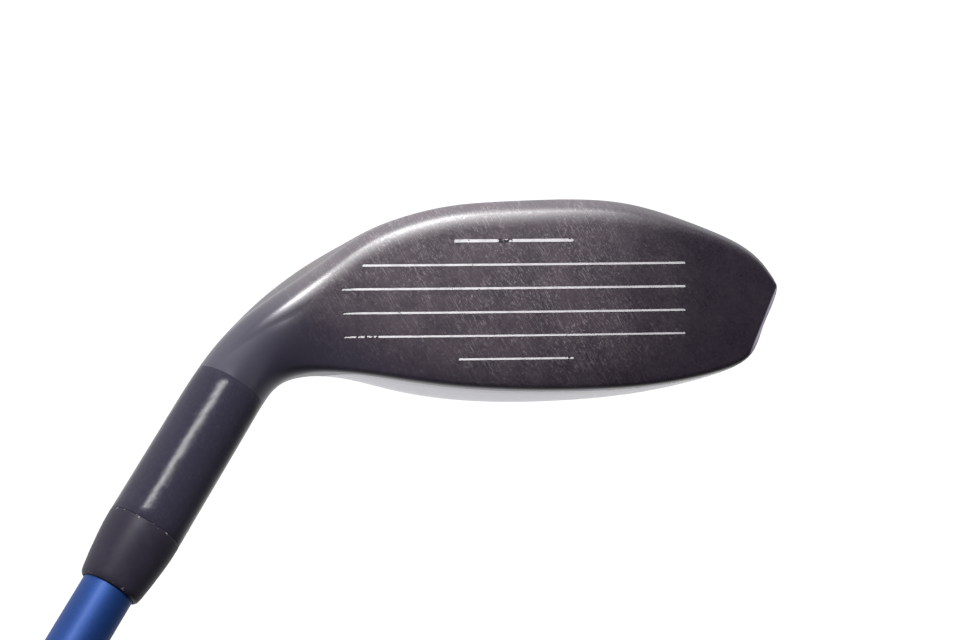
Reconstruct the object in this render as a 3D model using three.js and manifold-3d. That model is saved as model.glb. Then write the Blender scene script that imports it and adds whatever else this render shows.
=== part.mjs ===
// Hybrid golf club, right-handed, standing at address.
// Millimetres. +Z is up, the sole rests on z = 0, the face looks towards -Y, the toe points to -X
// and the shaft leans towards +X. The origin is the middle of the flat land under the sole.
import * as THREE from 'three';
import Module from 'manifold-3d';

// ---------------------------------------------------------------- driving dimensions
const CLUB_LENGTH = 1010;         // ground to butt, along the shaft axis
const LOFT = THREE.MathUtils.degToRad(22);
const LIE = THREE.MathUtils.degToRad(59.2);
const GAP = 0.3;                  // bond or weld line between neighbouring pieces

// Face: distances along its outward normal and up its slope, both from the origin.
const FACE_LEVEL = 17.4;          // face centre, along the normal
const LEADING_EDGE = -3.54;       // lowest point of the outline, up the slope
const FACE_CENTRE_UP = 13.5;
const BULGE_RADIUS = 340;         // heel to toe
const ROLL_RADIUS = 340;          // sole to crown
const TOP_LINE_RADIUS = 1.2;
const SOLE_DIP = 0.25;            // how much of the rounded sole the flat land takes off

// Hosel and shaft, all placed along the shaft axis from the ground.
const AXIS_X = 30.25;
const AXIS_Y = -7.5;
const NECK_END = 46;              // where the cast neck becomes a true cylinder
const HOSEL_TOP = 69;
const HOSEL_RADIUS = 6.6;
const HOSEL_TOP_RADIUS = 6.7;
const BORE_RADIUS = 5.0;
const BORE_BOTTOM = 40;
const FERRULE_LENGTH = 12.1;
const FERRULE_END_RADIUS = 5.5;
const SHAFT_TIP_RADIUS = 4.7;     // 0.370 inch parallel tip
const SHAFT_TIP_END = 85;
const SHAFT_BUTT_RADIUS = 7.6;
const SHAFT_WALL = 1.1;
const TIP_PIN_LENGTH = 22;

// Grip.
const GRIP_LENGTH = 268;
const GRIP_CAP_LENGTH = 7;
const GRIP_MOUTH_RADIUS = 9.2;
const GRIP_BUTT_RADIUS = 13.6;
const TAPE_THICKNESS = 0.25;
const VENT_RADIUS = 0.9;

// Shell of the head.
const FACE_THICKNESS = 2.4;
const CROWN_THICKNESS = 0.9;
const GROOVE_DEPTH = 0.45;
const GROOVE_OVERCUT = 1.0;
const GROOVE_STEPS = 12;          // bends in a groove, so that it follows the bulge

// Score lines: height up the face above the leading edge, heel end, toe end, width.
const SCORE_LINES = [
  { up: 7.35, heel: 10.7, toe: -10.7, width: 0.66 },
  { up: 11.6, heel: 27.0, toe: -31.2, width: 0.5 },
  { up: 15.8, heel: 30.7, toe: -31.2, width: 0.5 },
  { up: 20.05, heel: 30.5, toe: -31.2, width: 0.48 },
  { up: 24.25, heel: 30.3, toe: -31.2, width: 0.46 },
  { up: 28.4, heel: 10.0, toe: -10.7, width: 0.46 },
];

// Stations of the head from the toe tip to the neck. low is the outline on the sole side and high
// the outline on the crown side, as (x, height up the face above the leading edge). depth is how
// far the body reaches behind low, back is the height of its trailing edge, keel the height of the
// sole, lead the radius of the leading edge, and hosel how far the section has turned into the
// hosel's circle.
const STATIONS = [
  { low: [-48.5, 16.1], high: [-48.5, 16.1], depth: 6.0, back: 16.6, keel: 15.9, lead: 1.0, hosel: 0 },
  { low: [-47.3, 13.6], high: [-47.75, 19.6], depth: 13.0, back: 15.9, keel: 12.9, lead: 1.1, hosel: 0 },
  { low: [-45.2, 11.05], high: [-45.95, 23.7], depth: 21.5, back: 15.0, keel: 9.8, lead: 1.3, hosel: 0 },
  { low: [-41.5, 8.3], high: [-43.65, 28.6], depth: 30.0, back: 13.9, keel: 6.9, lead: 1.5, hosel: 0 },
  { low: [-36.0, 5.75], high: [-38.0, 31.35], depth: 38.5, back: 12.7, keel: 4.4, lead: 1.7, hosel: 0 },
  { low: [-29.2, 3.2], high: [-30.2, 33.0], depth: 47.5, back: 11.7, keel: 2.2, lead: 2.3, hosel: 0 },
  { low: [-20.5, 0.85], high: [-21.1, 34.0], depth: 54.5, back: 11.2, keel: 0.8, lead: 3.0, hosel: 0 },
  { low: [-10.5, 0.1], high: [-10.5, 34.3], depth: 58.5, back: 11.0, keel: 0.25, lead: 3.2, hosel: 0 },
  { low: [0.0, 0.35], high: [0.0, 34.1], depth: 59.5, back: 11.0, keel: 0.0, lead: 3.2, hosel: 0 },
  { low: [10.5, 1.1], high: [10.5, 33.35], depth: 57.0, back: 11.2, keel: 0.35, lead: 3.2, hosel: 0 },
  { low: [19.5, 3.2], high: [19.5, 32.1], depth: 50.5, back: 11.8, keel: 1.6, lead: 3.3, hosel: 0 },
  { low: [27.0, 6.45], high: [26.5, 31.0], depth: 41.5, back: 12.8, keel: 4.0, lead: 3.4, hosel: 0 },
  { low: [34.05, 11.35], high: [32.3, 30.55], depth: 32.0, back: 14.5, keel: 7.2, lead: 3.6, hosel: 0.06 },
  { low: [40.5, 15.6], high: [36.9, 30.95], depth: 24.5, back: 17.0, keel: 10.6, lead: 4.0, hosel: 0.28 },
  { low: [46.35, 19.5], high: [40.8, 32.1], depth: 19.0, back: 20.5, keel: 14.3, lead: 4.6, hosel: 0.58 },
  { low: [51.95, 24.2], high: [43.7, 34.3], depth: 15.5, back: 25.5, keel: 18.8, lead: 5.4, hosel: 0.85 },
  { low: [56.4, 29.5], high: [46.0, 37.4], depth: 13.5, back: 31.0, keel: 23.5, lead: 6.2, hosel: 1 },
];

// ---------------------------------------------------------------- materials
function material(color, roughness, metalness) {
  return new THREE.MeshStandardMaterial({ color, roughness, metalness });
}

const SATIN_BLACK = material(0x3a353b, 0.42, 0.75);
const GUNMETAL = material(0x4a444c, 0.38, 0.8);
const PEARL_WHITE = material(0xd8d5e2, 0.25, 0.1);
const TUNGSTEN = material(0x8c8f94, 0.35, 1.0);
const BRASS = material(0xb08d4a, 0.35, 1.0);
const GLOSS_BLACK = material(0x16151a, 0.15, 0.0);
const SHAFT_BLUE = material(0x2a4f9a, 0.22, 0.6);
const TAPE_PAPER = material(0xc9bf9f, 0.8, 0.0);
const GRIP_RUBBER = material(0x1d1d1f, 0.85, 0.0);
const CAP_RUBBER = material(0x242427, 0.75, 0.0);

// ---------------------------------------------------------------- frames
const SIN_LOFT = Math.sin(LOFT);
const COS_LOFT = Math.cos(LOFT);
const FACE_NORMAL = new THREE.Vector3(0, -COS_LOFT, SIN_LOFT);
const FACE_UP = new THREE.Vector3(0, SIN_LOFT, COS_LOFT);
const AXIS = new THREE.Vector3(Math.cos(LIE), 0, Math.sin(LIE));
const AXIS_FOOT = new THREE.Vector3(AXIS_X, AXIS_Y, 0);
// The hosel's own cross directions: across towards the toe, and out to the front.
const HOSEL_ACROSS = new THREE.Vector3().crossVectors(FACE_NORMAL, AXIS).normalize();
const HOSEL_FRONT = new THREE.Vector3().crossVectors(AXIS, HOSEL_ACROSS).normalize();

function faceToModel(x, up, out) {
  return new THREE.Vector3(x, 0, 0).addScaledVector(FACE_UP, up).addScaledVector(FACE_NORMAL, out);
}

function alongAxis(distance) {
  return AXIS_FOOT.clone().addScaledVector(AXIS, distance);
}

function faceLevel(x, up) {
  const rise = up - FACE_CENTRE_UP;
  return FACE_LEVEL - (x * x) / (2 * BULGE_RADIUS) - (rise * rise) / (2 * ROLL_RADIUS);
}

// ---------------------------------------------------------------- head surface
// The neck ends on the hosel's own circle, so the last station is worked out from the axis.
function neckStation() {
  const centre = alongAxis(NECK_END);
  const up = centre.dot(FACE_UP) - LEADING_EDGE;
  const dx = HOSEL_RADIUS * HOSEL_ACROSS.x;
  const dUp = HOSEL_RADIUS * HOSEL_ACROSS.dot(FACE_UP);
  return {
    low: [centre.x - dx, up - dUp],
    high: [centre.x + dx, up + dUp],
    depth: 2 * HOSEL_RADIUS,
    back: centre.z,
    keel: centre.z - HOSEL_RADIUS,
    lead: HOSEL_RADIUS,
    hosel: 1,
  };
}

const stations = [...STATIONS, neckStation()];
const LAST = stations.length - 1;

// One smooth outline runs from the neck along the sole to the toe tip and back along the crown.
const outline = new THREE.SplineCurve([
  ...stations.slice().reverse().map((s) => new THREE.Vector2(...s.low)),
  ...stations.slice(1).map((s) => new THREE.Vector2(...s.high)),
]);
const bodyCurve = new THREE.SplineCurve(stations.map((s) => new THREE.Vector2(s.depth, s.back)));
const keelCurve = new THREE.SplineCurve(stations.map((s, i) => new THREE.Vector2(i, s.keel)));
const blendCurve = new THREE.SplineCurve(stations.map((s) => new THREE.Vector2(s.lead, s.hosel)));

// The section is made of seven runs. TURN holds the angle round the hosel where each run starts.
const RUNS = { lead: 0, face: 1, topLine: 2, crown: 3, trailing: 4, sole: 5, front: 6 };
const RUN_STEPS = [5, 7, 3, 11, 4, 9, 5];
const TURN = [0, 50, 130, 180, 252, 276, 334, 360].map(THREE.MathUtils.degToRad);
const CROWN_START = THREE.MathUtils.degToRad(12);   // fall of the crown away from the top line
const LEAD_SHARE = 0.42;          // most the leading edge's radius may take of the section's width
const TOP_LINE_SHARE = 0.3;       // and the most that the top line's radius may take
const FULL_WIDTH = 20;            // sections narrower than this have a thinner trailing edge
const FULL_DEPTH = 40;            // sections shallower than this have their sole line further forward
const TRAILING_HALF = 3.2;        // half the height of the trailing edge
const TRAILING_SHARE = 0.11;      // and the most of it, as a share of the depth
const TRAILING_BULGE = 0.8;       // how far the trailing edge's curve stands behind its two ends
const SOLE_LINE = 14.5;           // leading edge to the lowest line of the sole
const BOW_FADE = 12;              // depth behind the face over which its bulge and roll fade out

// Pulls on the two ends of each curved run, in the side view (back, up), as shares of its length.
const PULLS = {
  crown: [[0.4433, -0.0781], [-0.2112, 0.24]],
  trailing: [[0.744, -0.948], [1.02, 0.636]],
  sole: [[-0.3, -0.12], [0.33, 0]],
  front: [[-0.45, 0], [0.3 * COS_LOFT, -0.3 * SIN_LOFT]],
};

// Insets of the outer skin, and of the cavity's wall behind it.
const OUTER = { low: 0, high: 0, face: 0, back: 0, lift: 0 };
const INNER = { low: 3.3, high: 2.9, face: FACE_THICKNESS, back: 6.5, lift: 2.0 };

function sectionAt(s, inset) {
  const low = outline.getPoint((LAST - s) / (2 * LAST));
  const high = outline.getPoint((LAST + s) / (2 * LAST));
  const [depth, back] = bodyCurve.getPoint(s / LAST).toArray();
  const [lead, hosel] = blendCurve.getPoint(s / LAST).toArray();
  const keel = keelCurve.getPoint(s / LAST).y;
  const across = high.clone().sub(low).normalize();
  low.addScaledVector(across, inset.low);
  high.addScaledVector(across, -inset.high);
  const width = high.distanceTo(low);
  const centre = low.clone().add(high).multiplyScalar(0.5);
  const level = faceLevel(centre.x, LEADING_EDGE + centre.y) - inset.face;
  const leadRadius = Math.min(lead, width * LEAD_SHARE);
  const topRadius = Math.min(TOP_LINE_RADIUS, width * TOP_LINE_SHARE);
  const share = THREE.MathUtils.clamp(hosel, 0, 1);
  return {
    low, across, width, centre, level, leadRadius, topRadius, share,
    depth: depth - inset.back,
    back,
    ground: keel - SOLE_DIP + inset.lift,
    taper: Math.min(1, width / FULL_WIDTH),
  };
}

// Side view coordinates (back, height) of a point given up the section and out of the face.
function sideView(section, u, v) {
  const up = LEADING_EDGE + section.low.y + u;
  const out = section.level + v;
  return new THREE.Vector2(up * SIN_LOFT - out * COS_LOFT, up * COS_LOFT + out * SIN_LOFT);
}

function fromSideView(section, point) {
  const up = point.x * SIN_LOFT + point.y * COS_LOFT;
  const out = -point.x * COS_LOFT + point.y * SIN_LOFT;
  return new THREE.Vector2(up - LEADING_EDGE - section.low.y, out - section.level);
}

function pulledCurve(start, end, [startPull, endPull], length) {
  return new THREE.CubicBezierCurve(
    start,
    new THREE.Vector2(...startPull).multiplyScalar(length).add(start),
    new THREE.Vector2(...endPull).multiplyScalar(length).add(end),
    end,
  );
}

function bodyRun(section, run, t) {
  const { leadRadius, topRadius, width } = section;
  const lowest = sideView(section, 0, -leadRadius);
  const top = sideView(
    section,
    width - topRadius + topRadius * Math.cos(CROWN_START),
    -topRadius + topRadius * Math.sin(CROWN_START),
  );
  const half = Math.min(TRAILING_HALF, TRAILING_SHARE * section.depth) * section.taper;
  const backEnd = lowest.x + section.depth - TRAILING_BULGE;
  const backTop = new THREE.Vector2(backEnd, section.back + half);
  const backLow = new THREE.Vector2(backEnd, section.back - half);
  const ground = new THREE.Vector2(
    lowest.x + SOLE_LINE * Math.min(1, section.depth / FULL_DEPTH),
    section.ground,
  );
  const curves = {
    [RUNS.crown]: () => pulledCurve(top, backTop, PULLS.crown, backTop.distanceTo(top)),
    [RUNS.trailing]: () => pulledCurve(backTop, backLow, PULLS.trailing, half),
    [RUNS.sole]: () => pulledCurve(backLow, ground, PULLS.sole, backEnd - ground.x),
    [RUNS.front]: () => pulledCurve(ground, lowest, PULLS.front, ground.x - lowest.x),
  };
  return fromSideView(section, curves[run]().getPoint(t));
}

function sectionPoint(section, run, t) {
  const { leadRadius, topRadius, width } = section;
  if (run === RUNS.lead) {
    const angle = (t * Math.PI) / 2;
    return new THREE.Vector2(leadRadius * (1 - Math.cos(angle)), leadRadius * (Math.sin(angle) - 1));
  }
  if (run === RUNS.face) {
    return new THREE.Vector2(THREE.MathUtils.lerp(leadRadius, width - topRadius, t), 0);
  }
  if (run === RUNS.topLine) {
    const angle = THREE.MathUtils.lerp(Math.PI / 2, CROWN_START, t);
    return new THREE.Vector2(
      width - topRadius + topRadius * Math.cos(angle),
      topRadius * (Math.sin(angle) - 1),
    );
  }
  return bodyRun(section, run, t);
}

// A point of the head's skin. s counts stations from the toe; q counts runs round the section.
function skin(s, q, inset = OUTER) {
  const section = sectionAt(s, inset);
  const run = Math.min(Math.floor(q), RUNS.front);
  const t = q - run;
  const flat = sectionPoint(section, run, t);
  const { share, leadRadius, width, level } = section;
  flat.y += leadRadius;
  const turn = THREE.MathUtils.lerp(TURN[run], TURN[run + 1], t);
  const round = new THREE.Vector2(
    (width / 2) * (1 - Math.cos(turn)),
    (width / 2) * Math.sin(turn),
  );
  flat.lerp(round, share);

  const centreUp = LEADING_EDGE + section.centre.y;
  const axisUp = AXIS_FOOT.dot(FACE_UP);
  const alongShaft = (centreUp - axisUp) / AXIS.dot(FACE_UP);
  const axisOut = alongAxis(alongShaft).dot(FACE_NORMAL);
  const base = THREE.MathUtils.lerp(level - leadRadius, axisOut, share);

  const x = section.low.x + section.across.x * flat.x;
  const up = LEADING_EDGE + section.low.y + section.across.y * flat.x;
  const bow = (faceLevel(x, up) - level - inset.face) * (1 - share);
  const outward = FACE_NORMAL.clone().lerp(HOSEL_FRONT, share).normalize();
  const fade = run <= RUNS.topLine ? 1 : Math.max(0, 1 + (flat.y - leadRadius) / BOW_FADE);
  return faceToModel(x, up, base).addScaledVector(outward, flat.y + bow * fade);
}

function skinNormal(s, q) {
  const step = 0.01;
  const withinRun = 1e-6;
  const alongS = skin(s + step, q).sub(skin(s - step, q));
  const run = Math.floor(q);
  const ahead = Math.min(q + step, run + 1 - withinRun);
  const behind = Math.max(q - step, run);
  const alongQ = skin(s, ahead).sub(skin(s, behind));
  return new THREE.Vector3().crossVectors(alongS, alongQ).normalize();
}

// ---------------------------------------------------------------- mesh helpers
function triangulateRings(rings) {
  const count = rings[0].length;
  const positions = rings.flat().flatMap((p) => p.toArray());
  const index = [];
  for (let i = 0; i < rings.length - 1; i += 1) {
    for (let j = 0; j < count; j += 1) {
      const k = (j + 1) % count;
      const a = i * count + j;
      const b = i * count + k;
      const c = a + count;
      const d = b + count;
      index.push(a, c, b, b, c, d);
    }
  }
  for (const [ring, start, flip] of [
    [rings[0], 0, false],
    [rings.at(-1), (rings.length - 1) * count, true],
  ]) {
    for (const [a, b, c] of capTriangles(ring)) {
      const face = [start + a, start + b, start + c];
      index.push(...(flip ? face.reverse() : face));
    }
  }
  const geometry = new THREE.BufferGeometry();
  geometry.setAttribute('position', new THREE.Float32BufferAttribute(positions, 3));
  geometry.setIndex(index);
  return geometry;
}

// Triangulates an end ring in its own plane, in the order of its points.
function capTriangles(ring) {
  const centre = ring.reduce((sum, p) => sum.add(p), new THREE.Vector3()).divideScalar(ring.length);
  const normal = new THREE.Vector3();
  for (let i = 0; i < ring.length; i += 1) {
    const a = ring[i].clone().sub(centre);
    const b = ring[(i + 1) % ring.length].clone().sub(centre);
    normal.add(a.cross(b));
  }
  normal.normalize();
  const xAxis = ring[0].clone().sub(centre).projectOnPlane(normal).normalize();
  const yAxis = new THREE.Vector3().crossVectors(normal, xAxis);
  const flat = ring.map((p) => {
    const offset = p.clone().sub(centre);
    return new THREE.Vector2(offset.dot(xAxis), offset.dot(yAxis));
  });
  return THREE.ShapeUtils.triangulateShape(flat, []);
}

// Places a geometry whose own +Y is the shaft axis and whose y counts from the ground.
function ontoAxis(geometry) {
  const turn = new THREE.Quaternion().setFromUnitVectors(new THREE.Vector3(0, 1, 0), AXIS);
  return geometry.applyQuaternion(turn).translate(AXIS_FOOT.x, AXIS_FOOT.y, AXIS_FOOT.z);
}

// Turned piece: profile of [radius, distance along the shaft axis].
function turned(profile, segments) {
  const points = profile.map(([r, y]) => new THREE.Vector2(r, y));
  return ontoAxis(new THREE.LatheGeometry(points, segments));
}

const wasm = await Module();
wasm.setup();

const MERGE_PER_MM = 1e4;

function toSolid(geometry) {
  const position = geometry.getAttribute('position');
  const index = geometry.index ? Array.from(geometry.index.array) : [...Array(position.count).keys()];
  const seen = new Map();
  const vertices = [];
  const remap = [];
  for (let i = 0; i < position.count; i += 1) {
    const point = [position.getX(i), position.getY(i), position.getZ(i)];
    const key = point.map((value) => Math.round(value * MERGE_PER_MM)).join(',');
    if (!seen.has(key)) {
      seen.set(key, vertices.length / 3);
      vertices.push(...point);
    }
    remap.push(seen.get(key));
  }
  const triangles = [];
  for (let i = 0; i < index.length; i += 3) {
    const [a, b, c] = [remap[index[i]], remap[index[i + 1]], remap[index[i + 2]]];
    if (a !== b && b !== c && c !== a) triangles.push(a, b, c);
  }
  return new wasm.Manifold(new wasm.Mesh({
    numProp: 3,
    vertProperties: new Float32Array(vertices),
    triVerts: new Uint32Array(triangles),
  }));
}

function toGeometry(solid) {
  const mesh = solid.getMesh();
  const geometry = new THREE.BufferGeometry();
  geometry.setAttribute('position', new THREE.Float32BufferAttribute(mesh.vertProperties, 3));
  geometry.setIndex(Array.from(mesh.triVerts));
  geometry.computeVertexNormals();
  return geometry;
}

// ---------------------------------------------------------------- head solids
function evenly(from, to, count) {
  return Array.from({ length: count + 1 }, (_, i) => THREE.MathUtils.lerp(from, to, i / count));
}

function ringAt(s, inset) {
  const ring = [];
  RUN_STEPS.forEach((steps, run) => {
    for (let i = 0; i < steps; i += 1) ring.push(skin(s, run + i / steps, inset));
  });
  return ring;
}

function hoselRing(distance, radius) {
  const centre = alongAxis(distance);
  const ring = [];
  RUN_STEPS.forEach((steps, run) => {
    for (let i = 0; i < steps; i += 1) {
      const turn = THREE.MathUtils.lerp(TURN[run], TURN[run + 1], i / steps);
      ring.push(centre.clone()
        .addScaledVector(HOSEL_ACROSS, -radius * Math.cos(turn))
        .addScaledVector(HOSEL_FRONT, radius * Math.sin(turn)));
    }
  });
  return ring;
}

// Rings crowd towards the toe, where the outline turns fastest.
const HEAD_RINGS = 34;
const FIRST_RING = 0.1;
const RING_CROWDING = 1.3;

function outerHead() {
  const rings = evenly(FIRST_RING, 1, HEAD_RINGS).map((k) => ringAt(LAST * k ** RING_CROWDING));
  rings.push(hoselRing(HOSEL_TOP, HOSEL_TOP_RADIUS));
  return toSolid(triangulateRings(rings));
}

const CAVITY_STATIONS = [2.3, 11.4];
const CAVITY_RINGS = 20;

function cavity() {
  const rings = evenly(...CAVITY_STATIONS, CAVITY_RINGS).map((s) => ringAt(s, INNER));
  return toSolid(triangulateRings(rings));
}

// A piece of the head's skin between two offsets from its surface (positive is outwards).
function skinPatch({ s, q, steps, outer, inner }) {
  const across = evenly(s[0], s[1], steps[0]);
  const round = evenly(q[0], q[1], steps[1]);
  const rows = across.map((si) => {
    const surface = round.map((qj) => ({ point: skin(si, qj), normal: skinNormal(si, qj) }));
    const offset = ({ point, normal }, by) => point.clone().addScaledVector(normal, by);
    return [
      ...surface.map((place) => offset(place, outer)),
      ...surface.map((place) => offset(place, inner)).reverse(),
    ];
  });
  return toSolid(triangulateRings(rows));
}

function scoreLineCutter({ up, heel, toe, width }) {
  const length = heel - toe;
  const height = GROOVE_DEPTH + GROOVE_OVERCUT;
  const box = new THREE.BoxGeometry(length, width, height, GROOVE_STEPS, 1, 1);
  const position = box.getAttribute('position');
  for (let i = 0; i < position.count; i += 1) {
    const x = position.getX(i) + (heel + toe) / 2;
    const climb = LEADING_EDGE + up + position.getY(i);
    const out = faceLevel(x, climb) + position.getZ(i) + height / 2 - GROOVE_DEPTH;
    const place = faceToModel(x, climb, out);
    position.setXYZ(i, place.x, place.y, place.z);
  }
  return toSolid(box);
}

const FACE_REGION = { s: [1.9, 11.55], q: [1.03, 1.965] };
const CROWN_REGION = { s: [2.5, 12.3], q: [3.015, 3.93] };
const FACE_CLEARANCE = { s: 0.045, q: 0.011 };
const CROWN_CLEARANCE = { s: 0.12, q: 0.006 };
const CROWN_LEDGE = { s: -0.45, q: -0.1 };
const FACE_OPENING = 3.4;         // the face opening runs from outside right into the cavity
const CROWN_OPENING = 4.5;
const CLEAR = 2;                  // how far a cutter stands outside the skin

function widen(region, { s, q }) {
  return { s: [region.s[0] - s, region.s[1] + s], q: [region.q[0] - q, region.q[1] + q] };
}

const headBlank = outerHead();
const faceCutter = skinPatch({
  ...widen(FACE_REGION, FACE_CLEARANCE), steps: [20, 6], outer: CLEAR, inner: -FACE_OPENING,
});
const crownRecess = skinPatch({
  ...widen(CROWN_REGION, CROWN_CLEARANCE), steps: [22, 11], outer: CLEAR, inner: -CROWN_THICKNESS - GAP,
});
const crownWindow = skinPatch({
  ...widen(CROWN_REGION, CROWN_LEDGE), steps: [16, 8], outer: CLEAR / 2, inner: -CROWN_OPENING,
});

// Sole weight: a plug in a pocket at the rear of the sole, placed where the skin passes.
const WEIGHT_PLACE = { s: 8.2, q: 5.42 };
const WEIGHT_RADIUS = 6;
const WEIGHT_LENGTH = 5.2;
const WEIGHT_RECESS = 0.25;
const POCKET_WALL = 1.8;
const BOSS_START = 0.8;           // the pocket's boss begins inside the sole's wall
const HEX_RADIUS = 2.3;
const HEX_DEPTH = 2.4;

// Turned piece that stands on the sole's skin at the weight: profile of [radius, depth inwards].
function soleTurned(profile, segments) {
  const { s, q } = WEIGHT_PLACE;
  const inward = skinNormal(s, q).negate();
  const turn = new THREE.Quaternion().setFromUnitVectors(new THREE.Vector3(0, 1, 0), inward);
  const foot = skin(s, q);
  const points = profile.map(([r, y]) => new THREE.Vector2(r, y));
  return new THREE.LatheGeometry(points, segments).applyQuaternion(turn).translate(foot.x, foot.y, foot.z);
}

function solePost(radius, from, to, segments = 32) {
  return toSolid(soleTurned([[0, from], [radius, from], [radius, to], [0, to]], segments));
}

const POCKET_DEPTH = WEIGHT_RECESS + WEIGHT_LENGTH + GAP;

function weightBoss() {
  return solePost(WEIGHT_RADIUS + GAP + POCKET_WALL, BOSS_START, POCKET_DEPTH + POCKET_WALL);
}

function soleWeight() {
  const start = WEIGHT_RECESS;
  const end = start + WEIGHT_LENGTH;
  const plug = toSolid(soleTurned([
    [0, start], [WEIGHT_RADIUS - 0.3, start], [WEIGHT_RADIUS, start + 0.3],
    [WEIGHT_RADIUS, end - 0.5], [WEIGHT_RADIUS - 0.5, end], [0, end],
  ], 32));
  return plug.subtract(solePost(HEX_RADIUS, -CLEAR, start + HEX_DEPTH, 6));
}

const LAND_CUTTER = { size: 200, height: 10 };
const landCutter = toSolid(new THREE.BoxGeometry(LAND_CUTTER.size, LAND_CUTTER.size, LAND_CUTTER.height)
  .translate(0, 0, -LAND_CUTTER.height / 2));
const boreCutter = toSolid(turned([
  [0, BORE_BOTTOM], [BORE_RADIUS, BORE_BOTTOM], [BORE_RADIUS, HOSEL_TOP + CLEAR], [0, HOSEL_TOP + CLEAR],
], 32));

function headBody() {
  return headBlank
    .subtract(cavity())
    .add(weightBoss())
    .subtract(solePost(WEIGHT_RADIUS + GAP, -CLEAR, POCKET_DEPTH))
    .subtract(crownRecess)
    .subtract(crownWindow)
    .subtract(faceCutter)
    .subtract(landCutter)
    .subtract(boreCutter);
}

function facePlate() {
  let plate = skinPatch({ ...FACE_REGION, steps: [20, 2], outer: 0, inner: -FACE_THICKNESS + 0.2 });
  for (const line of SCORE_LINES) plate = plate.subtract(scoreLineCutter(line));
  return plate;
}

function crownPlate() {
  return skinPatch({ ...CROWN_REGION, steps: [22, 11], outer: 0, inner: -CROWN_THICKNESS });
}

// ---------------------------------------------------------------- shaft, ferrule and grip
const BUTT = CLUB_LENGTH;
const PIN_HEAD = 0.9;             // thickness of the tip pin's head, under the end of the shaft
const SHAFT_START = BORE_BOTTOM + GAP + PIN_HEAD + GAP;
const SHAFT_END = BUTT - 3;
const FERRULE_START = HOSEL_TOP + GAP;
const FERRULE_END = FERRULE_START + FERRULE_LENGTH;

function shaftRadius(distance) {
  const share = THREE.MathUtils.clamp((distance - SHAFT_TIP_END) / (BUTT - SHAFT_TIP_END), 0, 1);
  return THREE.MathUtils.lerp(SHAFT_TIP_RADIUS, SHAFT_BUTT_RADIUS, share);
}

function shaft() {
  const stops = [SHAFT_START, SHAFT_TIP_END, 300, 520, 740, 880, SHAFT_END];
  const outside = stops.map((d) => [shaftRadius(d), d]);
  const inside = stops.map((d) => [shaftRadius(d) - SHAFT_WALL, d]).reverse();
  return turned([...outside, ...inside, outside[0]], 32);
}

function ferrule() {
  const bore = BORE_RADIUS;
  const rim = 0.35;
  return turned([
    [bore, FERRULE_START],
    [HOSEL_TOP_RADIUS - 0.1, FERRULE_START],
    [HOSEL_TOP_RADIUS, FERRULE_START + 0.1],
    [HOSEL_TOP_RADIUS - 0.15, FERRULE_START + 3],
    [HOSEL_TOP_RADIUS - 0.6, FERRULE_START + 7.5],
    [FERRULE_END_RADIUS + 0.15, FERRULE_END - 1.0],
    [FERRULE_END_RADIUS, FERRULE_END - 0.45],
    [FERRULE_END_RADIUS - rim, FERRULE_END - 0.05],
    [bore, FERRULE_END],
    [bore, FERRULE_START],
  ], 48);
}

function tipPin() {
  const radius = SHAFT_TIP_RADIUS - SHAFT_WALL - GAP;
  const start = SHAFT_START - PIN_HEAD;
  const headRadius = SHAFT_TIP_RADIUS - 0.2;
  return turned([
    [0, start],
    [headRadius, start],
    [headRadius, SHAFT_START - GAP],
    [radius, SHAFT_START - GAP],
    [radius, start + TIP_PIN_LENGTH - 1],
    [radius - 1, start + TIP_PIN_LENGTH],
    [0, start + TIP_PIN_LENGTH],
  ], 24);
}

const GRIP_MOUTH = BUTT - GRIP_LENGTH;
const CAP_START = BUTT - GRIP_CAP_LENGTH;

function tapeRadius(distance) {
  return shaftRadius(distance) + GAP;
}

function gripTape() {
  const start = GRIP_MOUTH + 4;
  const end = SHAFT_END - 4;
  return turned([
    [tapeRadius(start), start],
    [tapeRadius(start) + TAPE_THICKNESS, start],
    [tapeRadius(end) + TAPE_THICKNESS, end],
    [tapeRadius(end), end],
    [tapeRadius(start), start],
  ], 32);
}

function gripRadius(distance) {
  const share = (distance - GRIP_MOUTH) / (BUTT - GRIP_MOUTH);
  return THREE.MathUtils.lerp(GRIP_MOUTH_RADIUS, GRIP_BUTT_RADIUS, share ** 1.25);
}

function gripSleeve() {
  const clearance = GAP + TAPE_THICKNESS + GAP;
  const stops = [GRIP_MOUTH + 1.2, GRIP_MOUTH + 40, GRIP_MOUTH + 90, GRIP_MOUTH + 145,
    GRIP_MOUTH + 200, CAP_START - GAP];
  const outside = stops.map((d) => [gripRadius(d), d]);
  const boreAt = (d) => shaftRadius(d) + clearance;
  const end = CAP_START - GAP;
  return turned([
    [boreAt(GRIP_MOUTH), GRIP_MOUTH],
    [GRIP_MOUTH_RADIUS - 0.7, GRIP_MOUTH],
    ...outside,
    [boreAt(end), end],
    [boreAt(GRIP_MOUTH), GRIP_MOUTH],
  ], 36);
}

function gripCap() {
  const radius = gripRadius(CAP_START);
  const floor = SHAFT_END + GAP;
  const bore = shaftRadius(CAP_START) + GAP;
  return turned([
    [VENT_RADIUS, BUTT],
    [VENT_RADIUS, floor],
    [bore, floor],
    [bore, CAP_START],
    [radius, CAP_START],
    [GRIP_BUTT_RADIUS, CAP_START + 2.5],
    [GRIP_BUTT_RADIUS - 0.3, BUTT - 1.4],
    [GRIP_BUTT_RADIUS - 1.4, BUTT - 0.3],
    [GRIP_BUTT_RADIUS - 2.6, BUTT],
    [VENT_RADIUS, BUTT],
  ], 36);
}

// ---------------------------------------------------------------- assembly
const club = new THREE.Group();
club.name = 'hybrid_golf_club';

function addNode(name, geometry, look) {
  const mesh = new THREE.Mesh(geometry, look);
  mesh.name = name;
  club.add(mesh);
}

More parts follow.
